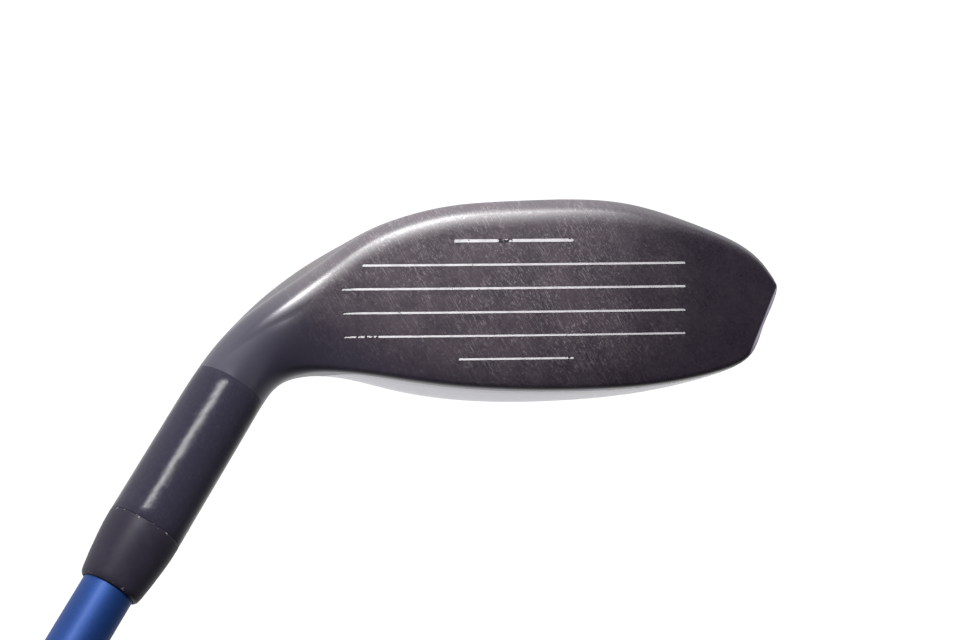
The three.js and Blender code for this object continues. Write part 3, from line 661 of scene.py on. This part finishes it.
def grip_pattern(n, along):
    """Raised diamonds between two crossing helices, broken by plain bands."""
    across = n.math("SUBTRACT", n.dot(n.position, HOSEL_ACROSS), float(AXIS_FOOT @ HOSEL_ACROSS))
    front = n.math("SUBTRACT", n.dot(n.position, HOSEL_FRONT), float(AXIS_FOOT @ HOSEL_FRONT))
    angle = n.math("MULTIPLY", n.math("ARCTAN2", front, across), GRIP_HELIX[0])
    travel = n.math("MULTIPLY", along, GRIP_HELIX[1])
    first = n.math("ABSOLUTE", n.math("SINE", n.math("ADD", travel, angle)))
    second = n.math("ABSOLUTE", n.math("SINE", n.math("SUBTRACT", travel, angle)))
    diamond = n.step(n.math("MINIMUM", first, second), 0.12, 0.42)
    band = n.math("SINE", n.math("MULTIPLY", along, 2 * math.pi / GRIP_BAND_SPACING))
    collar_end = CLUB_LENGTH - GRIP_LENGTH + GRIP_COLLAR
    field = n.math("MULTIPLY", n.step(band, -0.55, -0.5), n.step(along, collar_end, collar_end + 1))
    return n.math("MULTIPLY", diamond, field)


def rubber_material(name, patterned):
    """Black moulded rubber. The sleeve has a helical diamond pattern between its plain bands, with painted
    shade wherever the diamonds aren't raised.
    """
    n = Nodes(name)
    dust = n.noise(n.position, 0.35, 5, 0.65)
    grain = n.noise(n.position, 3.5, 3, 0.6)
    base = n.mix(n.step(dust, 0.4, 0.75), colour(30, 30, 31), colour(52, 51, 52))
    height = n.math("MULTIPLY", grain, 0.25)
    if patterned:
        relief = grip_pattern(n, n.along_axis())
        height = n.math("ADD", height, relief)
        # Painted shade: darker in the grooves between the raised diamonds, and over the plain bands.
        base = n.mix(n.math("MULTIPLY", n.math("SUBTRACT", 1, relief), 0.5), base, colour(18, 18, 19))
    bump_height = 0.35 if patterned else 0.08
    n.set(Base_Color=base, Roughness=n.step(dust, 0.3, 0.7, 0.62, 0.8), Normal=n.bump(height, bump_height))
    return n.material


def weight_material():
    n = Nodes("turned_steel")
    grain = n.noise(n.position, 2.2, 4, 0.7)
    fine = n.noise(n.position, 9, 2, 0.6)
    base = n.mix(n.step(grain, 0.35, 0.65), colour(150, 149, 153), colour(178, 177, 181))
    n.set(Base_Color=base, Roughness=n.step(fine, 0.3, 0.7, 0.22, 0.36), Metallic=1.0,
          Normal=n.bump(fine, 0.01))
    return n.material


def brass_material():
    n = Nodes("turned_brass")
    grain = n.noise(n.position, 2.0, 4, 0.6)
    base = n.mix(n.step(grain, 0.3, 0.7), colour(178, 140, 72), colour(206, 168, 96))
    n.set(Base_Color=base, Roughness=n.step(grain, 0.3, 0.7, 0.25, 0.4), Metallic=1.0,
          Normal=n.bump(grain, 0.01))
    return n.material


def tape_material():
    n = Nodes("paper_tape")
    fibre = n.noise(n.position, 1.6, 5, 0.7)
    base = n.mix(n.step(fibre, 0.3, 0.7), colour(214, 203, 176), colour(232, 224, 202))
    n.set(Base_Color=base, Roughness=0.85, Normal=n.bump(fibre, 0.04))
    return n.material


FLOOR_GLOW = 0.85


def floor_material():
    """Pale all over as the camera sees it. As a light it glows less below the toe's side and the face's."""
    n = Nodes("pale_floor")
    patchy = n.noise(n.position, 0.004, 2)
    base = n.mix(n.step(patchy, 0.3, 0.7), colour(246, 246, 247), colour(250, 250, 251))
    n.set(Base_Color=base, Roughness=0.8, Emission_Color=(1, 1, 1, 1))
    across, back = n.dot(n.position, (1, 0, 0)), n.dot(n.position, (0, 1, 0))
    below = n.math("MULTIPLY", n.step(back, -1100, -200), n.step(across, -500, 300, 0.8, 1))
    seen = n.tree.nodes.new("ShaderNodeLightPath").outputs["Is Camera Ray"]
    glow = n.math("MAXIMUM", n.math("MAXIMUM", below, n.step(back, 400, 1000)), seen)
    n.set(Emission_Strength=n.math("MULTIPLY", glow, FLOOR_GLOW))
    return n.material


# ---------------------------------------------------------------- head
CROWN_S, CROWN_Q = (2.5, 12.3), (3.015, 3.93)
CROWN_END_ROUND = 1.1             # stations by which the crown's ends draw in at its corners
CROWN_MIDDLE, CROWN_HALF = 3.47, 0.46
CROWN_END_FADE = 1.6              # stations over which the rings round the crown's ends straighten out
CROWN_PROUD = 0.02                # the crown's paint stands this far out of the head's skin
CROWN_THICKNESS = 0.9
RINGS, FIRST_RING, RING_CROWDING = 210, 0.012, 1.6    # rings crowd towards the toe's tip
WEIGHT_S, WEIGHT_Q = 8.2, 5.42
WEIGHT_RADIUS, WEIGHT_RECESS, WEIGHT_LENGTH = 6.0, 0.25, 5.2
POCKET_GAP = 0.22
HEX_RADIUS, HEX_DEPTH = 2.3, 2.4


class Skin:
    """The head's skin on a dense grid, read at any station for each place round it."""

    def __init__(self, q):
        self.q = q
        self.s = LAST * np.linspace(0.011, 1, 460) ** RING_CROWDING
        self.points = np.array([head_ring(s, q) for s in self.s])

    def ring(self, s):
        s = np.broadcast_to(s, self.q.shape)
        i = np.clip(np.searchsorted(self.s, s) - 1, 0, len(self.s) - 2)
        t = ((s - self.s[i]) / (self.s[i + 1] - self.s[i]))[:, None]
        j = np.arange(len(self.q))
        return self.points[i, j] * (1 - t) + self.points[i + 1, j] * t


def crown_end_shift(q):
    """How far the crown's ends draw in at each place, more towards its front and back corners."""
    middle, half = sum(CROWN_Q) / 2, (CROWN_Q[1] - CROWN_Q[0]) / 2
    across = np.clip(np.abs(q - middle) / half, 0, 1)
    return CROWN_END_ROUND * across ** 5


def head_places():
    """Places round the section: even in each run, with the crown plate's edges among them."""
    before_crown, after_crown = [CROWN, CROWN + 0.01], [CROWN + 0.94, CROWN + 0.97]
    return np.concatenate([
        steps([22, 40, 10]), before_crown, np.linspace(*CROWN_Q, 40), after_crown,
        TRAILING + steps([16, 44, 22]),
    ])


def shifted(skin, s):
    """One ring whose stations bend to follow the crown's rounded ends."""
    toe = max(0.0, 1 - abs(s - CROWN_S[0]) / CROWN_END_FADE)
    heel = max(0.0, 1 - abs(s - CROWN_S[1]) / CROWN_END_FADE)
    inside = (skin.q >= CROWN_Q[0] - 1e-6) & (skin.q <= CROWN_Q[1] + 1e-6)
    near = np.where(inside, 1.0, np.clip(1 - np.abs(skin.q - CROWN_MIDDLE) + CROWN_HALF, 0, 1) ** 6)
    bend = crown_end_shift(skin.q) * near
    return np.clip(s + (toe - heel) * bend, skin.s[0], LAST)


def sink(points, depth):
    """The same rings moved in along the grid's normals."""
    along = np.gradient(points, axis=0)
    round_ = np.roll(points, -1, 1) - np.roll(points, 1, 1)
    normal = np.cross(along, round_)
    normal /= np.maximum(np.linalg.norm(normal, axis=2, keepdims=True), 1e-12)
    centre = points.mean((0, 1))
    inward = np.sign(((points - centre) * normal).sum(2).mean())
    return points - inward * normal * depth


def head_rings(grid, q):
    """The skin's rings, then the hosel's outside, its rim and its bore."""
    rings = list(grid)
    for distance in np.linspace(NECK_END, HOSEL_TOP, 14)[1:]:
        share = (distance - NECK_END) / (HOSEL_TOP - NECK_END)
        rings.append(hosel_ring(distance, HOSEL_RADIUS + (HOSEL_TOP_RADIUS - HOSEL_RADIUS) * share, q))
    rings.append(hosel_ring(HOSEL_TOP + HOSEL_LIP, HOSEL_TOP_RADIUS - 0.05, q))
    rings.append(hosel_ring(HOSEL_TOP + HOSEL_LIP, HOSEL_BORE_RADIUS, q))
    rings.append(hosel_ring(HOSEL_TOP - HOSEL_BORE_DEPTH, HOSEL_BORE_RADIUS, q))
    return rings


def head_mesh(grid, q):
    rings = head_rings(grid, q)
    points = np.concatenate(rings)
    faces = ring_faces(len(rings), len(q))
    faces.append(tuple(range(len(q))))
    faces.append(tuple(range(len(points) - 1, len(points) - 1 - len(q), -1)))
    return closed_mesh(points, faces)


def crown_mesh(grid, rows, columns):
    """A thin sheet over the given rings and places of the head's grid."""
    outer = sink(grid, -CROWN_PROUD)[rows, columns]
    inner = sink(grid, CROWN_THICKNESS)[rows, columns]
    count, width = outer.shape[:2]

    def at(layer, i, j):
        return (layer * count + i) * width + j

    faces = []
    for i in range(count - 1):
        for j in range(width - 1):
            faces.append((at(0, i, j), at(0, i + 1, j), at(0, i + 1, j + 1), at(0, i, j + 1)))
            faces.append((at(1, i, j), at(1, i, j + 1), at(1, i + 1, j + 1), at(1, i + 1, j)))
        for j in (0, width - 1):
            faces.append((at(0, i, j), at(1, i, j), at(1, i + 1, j), at(0, i + 1, j)))
    for j in range(width - 1):
        for i in (0, count - 1):
            faces.append((at(0, i, j), at(0, i, j + 1), at(1, i, j + 1), at(1, i, j)))
    return closed_mesh(np.concatenate([outer.reshape(-1, 3), inner.reshape(-1, 3)]), faces)


def build_head(material, hosel_paint, crown_material, weight_steel, white_paint):
    q = head_places()
    skin = Skin(q)
    rings = LAST * np.linspace(FIRST_RING, 1, RINGS) ** RING_CROWDING
    crown_s = np.linspace(*CROWN_S, 110)
    before_crown = rings[rings < CROWN_S[0] - 0.02]
    after_crown = rings[rings > CROWN_S[1] + 0.02]
    stops = np.concatenate([before_crown, crown_s, after_crown])
    grid = np.array([skin.ring(shifted(skin, s)) for s in stops])
    rows = slice(len(before_crown), len(before_crown) + len(crown_s))
    columns = slice(int(np.argmin(abs(q - CROWN_Q[0]))), int(np.argmin(abs(q - CROWN_Q[1]))) + 1)
    head = add_object("head_skin", head_mesh(grid, q))
    crown = add_object("crown_skin", crown_mesh(grid, rows, columns))

    place, normal = weight_place()
    pocket = disc_body(place, normal, WEIGHT_RADIUS + POCKET_GAP, -WEIGHT_LENGTH, 4, 96)
    cutters = [add_object("pocket", pocket)]
    for line in SCORE_LINES:
        cutters.append(add_object("slot", score_body(*line, -GROOVE_DEPTH, 1.0, 0, 0)))
    cut(head, cutters)
    paint_hosel(head, material, hosel_paint)
    finish_piece(head, None, ("head_body", "face_plate"), 24)
    finish_piece(crown, crown_material, ("crown_plate",), 40)
    for index, line in enumerate(SCORE_LINES):
        body = score_body(*line, -GROOVE_DEPTH - 0.05, -PAINT_DEPTH, 0.01, 0.06)
        fill = add_object(f"score_paint_{index + 1}", body)
        finish_piece(fill, white_paint, (), 40)
    weight = add_object("weight_disc", weight_body(place, normal))
    finish_piece(weight, weight_steel, ("sole_weight",), 24)


def paint_hosel(head, satin, gloss):
    """Cut the skin along the masked edge of the hosel's paint, and give each side its own finish."""
    bm = bmesh.new()
    bm.from_mesh(head.data)
    edge = Vector(along_axis(HOSEL_PAINT_START) * MM)
    along = Vector(AXIS)
    everything = bm.verts[:] + bm.edges[:] + bm.faces[:]
    bmesh.ops.bisect_plane(bm, geom=everything, plane_co=edge, plane_no=along, dist=1e-6)
    for face in bm.faces:
        face.material_index = int((face.calc_center_median() - edge).dot(along) > 0)
    head.data.materials.clear()
    head.data.materials.append(satin)
    head.data.materials.append(gloss)
    bm.to_mesh(head.data)
    bm.free()


def weight_place():
    q = np.array([WEIGHT_Q - 0.01, WEIGHT_Q, WEIGHT_Q + 0.01])
    here = head_ring(WEIGHT_S, q)
    beside = head_ring(WEIGHT_S + 0.02, q)
    normal = np.cross(here[2] - here[0], beside[1] - here[1])
    normal /= np.linalg.norm(normal)
    return here[1], normal if normal[2] < 0 else -normal


def side_axes(normal):
    first = np.cross(normal, [0.0, 1.0, 0.0])
    first /= np.linalg.norm(first)
    return first, np.cross(normal, first)


def disc_body(place, normal, radius, low, high, segments):
    a, b = side_axes(normal)
    turn = np.linspace(0, 2 * math.pi, segments, endpoint=False)
    spokes = np.cos(turn)[:, None] * a + np.sin(turn)[:, None] * b
    points = np.concatenate([place + normal * h + spokes * radius for h in (low, high)])
    faces = ring_faces(2, segments)
    faces += [tuple(range(segments)), tuple(range(2 * segments - 1, segments - 1, -1))]
    return closed_mesh(points, faces)


def weight_body(place, normal):
    """A round weight with a chamfered rim, a shallow ring groove and a hexagon socket."""
    segments = 96
    a, b = side_axes(normal)
    turn = np.linspace(0, 2 * math.pi, segments, endpoint=False)
    spokes = np.cos(turn)[:, None] * a + np.sin(turn)[:, None] * b
    sixth = math.pi / 3
    hexagon = math.cos(sixth / 2) / np.cos((turn % sixth) - sixth / 2)
    top = -WEIGHT_RECESS
    profile = [
        (WEIGHT_RADIUS, -WEIGHT_LENGTH, 0), (WEIGHT_RADIUS, top - 0.45, 0),
        (WEIGHT_RADIUS - 0.1, top - 0.25, 0), (WEIGHT_RADIUS - 0.45, top, 0),
        (4.6, top, 0), (4.5, top - 0.12, 0), (4.1, top - 0.12, 0), (4.0, top, 0),
        (HEX_RADIUS + 0.45, top, 0), (HEX_RADIUS + 0.2, top - 0.1, 1), (HEX_RADIUS, top - 0.4, 1),
        (HEX_RADIUS, top - HEX_DEPTH, 1), (0.6, top - HEX_DEPTH - 0.3, 0),
    ]
    rings = []
    for radius, height, six in profile:
        reach = radius * (hexagon if six else 1.0) * np.ones(segments)
        rings.append(place + normal * height + spokes * reach[:, None])
    faces = ring_faces(len(profile), segments)
    last = (len(profile) - 1) * segments
    faces += [tuple(range(segments - 1, -1, -1)), tuple(range(last, last + segments))]
    return closed_mesh(np.concatenate(rings), faces)


END_STEPS, LINE_STEPS = 9, 38     # points round a score line's end, and along each of its sides


def score_body(up, heel, toe, width, low, high, trim, gap):
    """A slot, or its paint, along a score line with rounded ends, following the curved face."""
    half = width / 2 - trim
    up += LEADING_EDGE
    turn = np.linspace(-math.pi / 2, math.pi / 2, END_STEPS)
    heel_end = [(heel - half + half * math.cos(t), half * math.sin(t)) for t in turn]
    toe_end = [(toe + half - half * math.cos(t), -half * math.sin(t)) for t in turn]
    length = np.linspace(heel - half, toe + half, LINE_STEPS + 2)[1:-1]
    upper_side = [(x, half) for x in length]
    lower_side = [(x, -half) for x in length[::-1]]
    loop = np.array(heel_end + upper_side + toe_end + lower_side)
    loop[:, 1] = np.minimum(loop[:, 1], half - gap)
    x, place = loop[:, 0], up + loop[:, 1]
    points = np.concatenate([face_to_model(x, place, face_level(x, place) + out) for out in (low, high)])

    count = len(loop)
    toe_start = END_STEPS + LINE_STEPS
    toe_last = toe_start + END_STEPS - 1
    upper = list(range(END_STEPS - 1, toe_start + 1))
    lower = [0] + list(range(count - 1, toe_last - 1, -1))
    faces = ring_faces(2, count)
    for layer in (0, count):
        faces.append(tuple(layer + i for i in range(END_STEPS)))
        faces.append(tuple(layer + i for i in range(toe_start, toe_last + 1)))
        for k in range(len(upper) - 1):
            faces.append((layer + upper[k], layer + upper[k + 1], layer + lower[k + 1], layer + lower[k]))
    return closed_mesh(points, faces)


build_head(head_material(), hosel_material(), pearl_material(), weight_material(), paint_material())

# ---------------------------------------------------------------- shaft, ferrule, grip
FERRULE_END = FERRULE_START + FERRULE_LENGTH
GRIP_MOUTH = CLUB_LENGTH - GRIP_LENGTH


def shaft_radius(distance):
    share = min(max((distance - SHAFT_TIP_END) / (CLUB_LENGTH - SHAFT_TIP_END), 0.0), 1.0)
    return SHAFT_TIP_RADIUS + (SHAFT_BUTT_RADIUS - SHAFT_TIP_RADIUS) * share


def grip_radius(distance):
    share = min(max((distance - GRIP_MOUTH) / GRIP_LENGTH, 0.0), 1.0)
    return GRIP_MOUTH_RADIUS + (GRIP_BUTT_RADIUS - GRIP_MOUTH_RADIUS) * share ** 1.25


shaft_stops = [SHAFT_START, 70.0, SHAFT_TIP_END, 120.0, 200.0, 400.0, 600.0, 800.0, CLUB_LENGTH - 8]
shaft_outside = [(shaft_radius(d), d) for d in shaft_stops]
shaft_bore = [(radius - SHAFT_WALL, d) for radius, d in reversed(shaft_outside)]
turned("shaft_tube", shaft_outside + shaft_bore, shaft_material(), ("shaft",))
FERRULE_BORE_RADIUS = 4.78
FERRULE_OVERHANG = 0.12           # it reaches back over the gap to the hosel's rim
ferrule_foot = FERRULE_START - FERRULE_OVERHANG
turned(
    "ferrule_ring",
    [(5.0, ferrule_foot), (6.64, ferrule_foot), (6.7, FERRULE_START), (6.72, FERRULE_START + 0.25),
     (6.66, FERRULE_START + 2.5), (6.45, FERRULE_START + 5.0), (6.12, FERRULE_START + 8.0),
     (5.75, FERRULE_END - 1.6), (5.62, FERRULE_END - 0.9), (5.45, FERRULE_END - 0.4),
     (5.2, FERRULE_END - 0.1), (4.9, FERRULE_END), (FERRULE_BORE_RADIUS, FERRULE_END - 0.2),
     (FERRULE_BORE_RADIUS, FERRULE_START)],
    ferrule_material(), ("ferrule",),
)


def build_grip():
    """The sleeve: a rounded lip, three rings, and the long tapered body. Then its cap."""
    lip = [(GRIP_MOUTH_RADIUS - 1.2, GRIP_MOUTH), (GRIP_MOUTH_RADIUS - 0.3, GRIP_MOUTH),
           (GRIP_MOUTH_RADIUS, GRIP_MOUTH + 0.35), (GRIP_MOUTH_RADIUS + 0.1, GRIP_MOUTH + 1.2)]
    rings = []
    for k in range(3):
        start = GRIP_MOUTH + 4 + 3.2 * k
        for reach, step in ((0.0, 0.0), (-0.35, 0.3), (-0.35, 1.1), (0.0, 1.4)):
            rings.append((grip_radius(start + step) + reach, start + step))
    body_stops = np.linspace(GRIP_MOUTH + 14, CLUB_LENGTH - GRIP_CAP_LENGTH - 1, 60)
    body = [(grip_radius(d), d) for d in body_stops]
    end = CLUB_LENGTH - GRIP_CAP_LENGTH - GAP
    rim = [(grip_radius(end) - 0.05, end - 0.3), (grip_radius(end) - 0.35, end)]
    inside = [(shaft_radius(d) + GRIP_BORE_CLEARANCE, d) for d in (end, GRIP_MOUTH)]
    turned("grip_rubber", lip + rings + body + rim + inside,
           rubber_material("grip_rubber_moulded", True), ("grip_sleeve",), 128, 35)
    start = CLUB_LENGTH - GRIP_CAP_LENGTH
    turned("grip_end", [
        (VENT_RADIUS, start + 0.4), (GRIP_BUTT_RADIUS - 0.35, start), (GRIP_BUTT_RADIUS, start + 0.35),
        (GRIP_BUTT_RADIUS, start + 3.2), (GRIP_BUTT_RADIUS - 0.3, start + 4.7),
        (GRIP_BUTT_RADIUS - 1.1, start + 6.0), (GRIP_BUTT_RADIUS - 2.4, start + 6.8),
        (GRIP_BUTT_RADIUS - 3.4, start + 7.0), (GRIP_BUTT_RADIUS - 4.0, start + 6.6),
        (GRIP_BUTT_RADIUS - 4.6, start + 6.55), (GRIP_BUTT_RADIUS - 5.2, start + 6.95),
        (4.0, start + 7.0), (1.5, start + 7.0), (VENT_RADIUS, start + 6.7),
    ], rubber_material("cap_rubber_smooth", False), ("grip_cap",), 128, 35)


build_grip()
for node, finish in (("tip_weight_pin", brass_material()), ("grip_tape", tape_material())):
    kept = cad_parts[node]
    kept.data.materials.clear()
    kept.data.materials.append(finish)

# ---------------------------------------------------------------- camera, light, floor
VIEW_DISTANCE = 480.0
VIEW_WIDTH = 170.5                # width seen at the face
VIEW_YAW = math.radians(7.0)
VIEW_PITCH = math.radians(3.0)
VIEW_ROLL = math.radians(0.28)
SENSOR_WIDTH = 36.0
LIGHT_DISTANCE = 750.0
WORLD_BACK, WORLD_FRONT = 1.3, 0.05
WORLD_FADE = (-0.8, 0.35)         # cosines from the darkest direction: starts to dim, fully dark
WORLD_LEAN = 0.55                 # how far the darkest direction leans to the toe's side
VIEW_TARGET = face_to_model(6.2, 17.86, FACE_LEVEL)


def look_axes():
    toward = (FACE_NORMAL * math.cos(VIEW_PITCH) * math.cos(VIEW_YAW)
              + np.array([1.0, 0, 0]) * math.sin(VIEW_YAW) * math.cos(VIEW_PITCH)
              - FACE_UP * math.sin(VIEW_PITCH))
    toward /= np.linalg.norm(toward)
    up = -FACE_UP + (FACE_UP @ toward) * toward
    up /= np.linalg.norm(up)
    right = np.cross(up, toward)
    up = up * math.cos(VIEW_ROLL) + right * math.sin(VIEW_ROLL)
    return np.cross(up, toward), up, toward


RIGHT, UP, TOWARD = look_axes()


def placed(obj, place, right, up, back):
    rows = [[right[i], up[i], back[i], place[i] * MM] for i in range(3)]
    obj.matrix_world = Matrix(rows + [[0, 0, 0, 1]])
    bpy.context.scene.collection.objects.link(obj)


def add_camera():
    data = bpy.data.cameras.new("camera")
    data.sensor_width = SENSOR_WIDTH
    data.lens = SENSOR_WIDTH * VIEW_DISTANCE / VIEW_WIDTH
    data.clip_start, data.clip_end = 0.01, 20.0
    camera = bpy.data.objects.new("camera", data)
    placed(camera, VIEW_TARGET + TOWARD * VIEW_DISTANCE, RIGHT, UP, TOWARD)
    bpy.context.scene.camera = camera


def add_softbox(name, off_axis, turn, width, height, power):
    """A softbox aimed at the face: degrees away from the view's line, and round it from straight up."""
    off_axis, turn = math.radians(off_axis), math.radians(turn)
    outward = RIGHT * math.sin(turn) + UP * math.cos(turn)
    back = outward * math.sin(off_axis) + TOWARD * math.cos(off_axis)
    up = outward * math.cos(off_axis) - TOWARD * math.sin(off_axis)
    data = bpy.data.lights.new(name, "AREA")
    data.shape = "RECTANGLE"
    data.size, data.size_y = width * MM, height * MM
    data.energy = power
    box = bpy.data.objects.new(name, data)
    placed(box, VIEW_TARGET + back * LIGHT_DISTANCE, np.cross(up, back), up, back)
    box.visible_camera = False


def add_world():
    """White all round as seen, darker on the face's side as a light, so the face stays dark."""
    world = bpy.data.worlds.new("studio")
    bpy.context.scene.world = world
    world.use_nodes = True
    tree = world.node_tree
    tree.nodes.clear()
    output = tree.nodes.new("ShaderNodeOutputWorld")
    sky = tree.nodes.new("ShaderNodeBackground")
    place = tree.nodes.new("ShaderNodeTexCoord")
    turn = tree.nodes.new("ShaderNodeVectorMath")
    turn.operation = "DOT_PRODUCT"
    darkest = TOWARD + WORLD_LEAN * RIGHT
    turn.inputs[1].default_value = tuple(darkest / np.linalg.norm(darkest))
    level = tree.nodes.new("ShaderNodeMapRange")
    level.interpolation_type = "SMOOTHSTEP"
    level.inputs["From Min"].default_value, level.inputs["From Max"].default_value = WORLD_FADE
    level.inputs["To Min"].default_value = WORLD_BACK
    level.inputs["To Max"].default_value = WORLD_FRONT
    seen = tree.nodes.new("ShaderNodeLightPath")
    choose = tree.nodes.new("ShaderNodeMix")
    choose.inputs[3].default_value = 1.0
    tree.links.new(place.outputs["Generated"], turn.inputs[0])
    tree.links.new(turn.outputs["Value"], level.inputs["Value"])
    tree.links.new(seen.outputs["Is Camera Ray"], choose.inputs[0])
    tree.links.new(level.outputs["Result"], choose.inputs[2])
    tree.links.new(choose.outputs[0], sky.inputs["Strength"])
    tree.links.new(sky.outputs[0], output.inputs["Surface"])


add_camera()
add_world()
add_softbox("edge_light", 40, -6, 400, 85, 7.2)
add_softbox("neck_light", 40, -44, 420, 50, 0.2)

FLOOR_LEVEL = -650.0
FLOOR_REACH = 6000.0
corners = [(x * FLOOR_REACH, y * FLOOR_REACH, FLOOR_LEVEL) for x, y in ((-1, -1), (1, -1), (1, 1), (-1, 1))]
floor = add_object("floor", closed_mesh(corners, [(0, 1, 2, 3)]))
floor.data.materials.append(floor_material())
bpy.context.scene.view_settings.view_transform = "Standard"
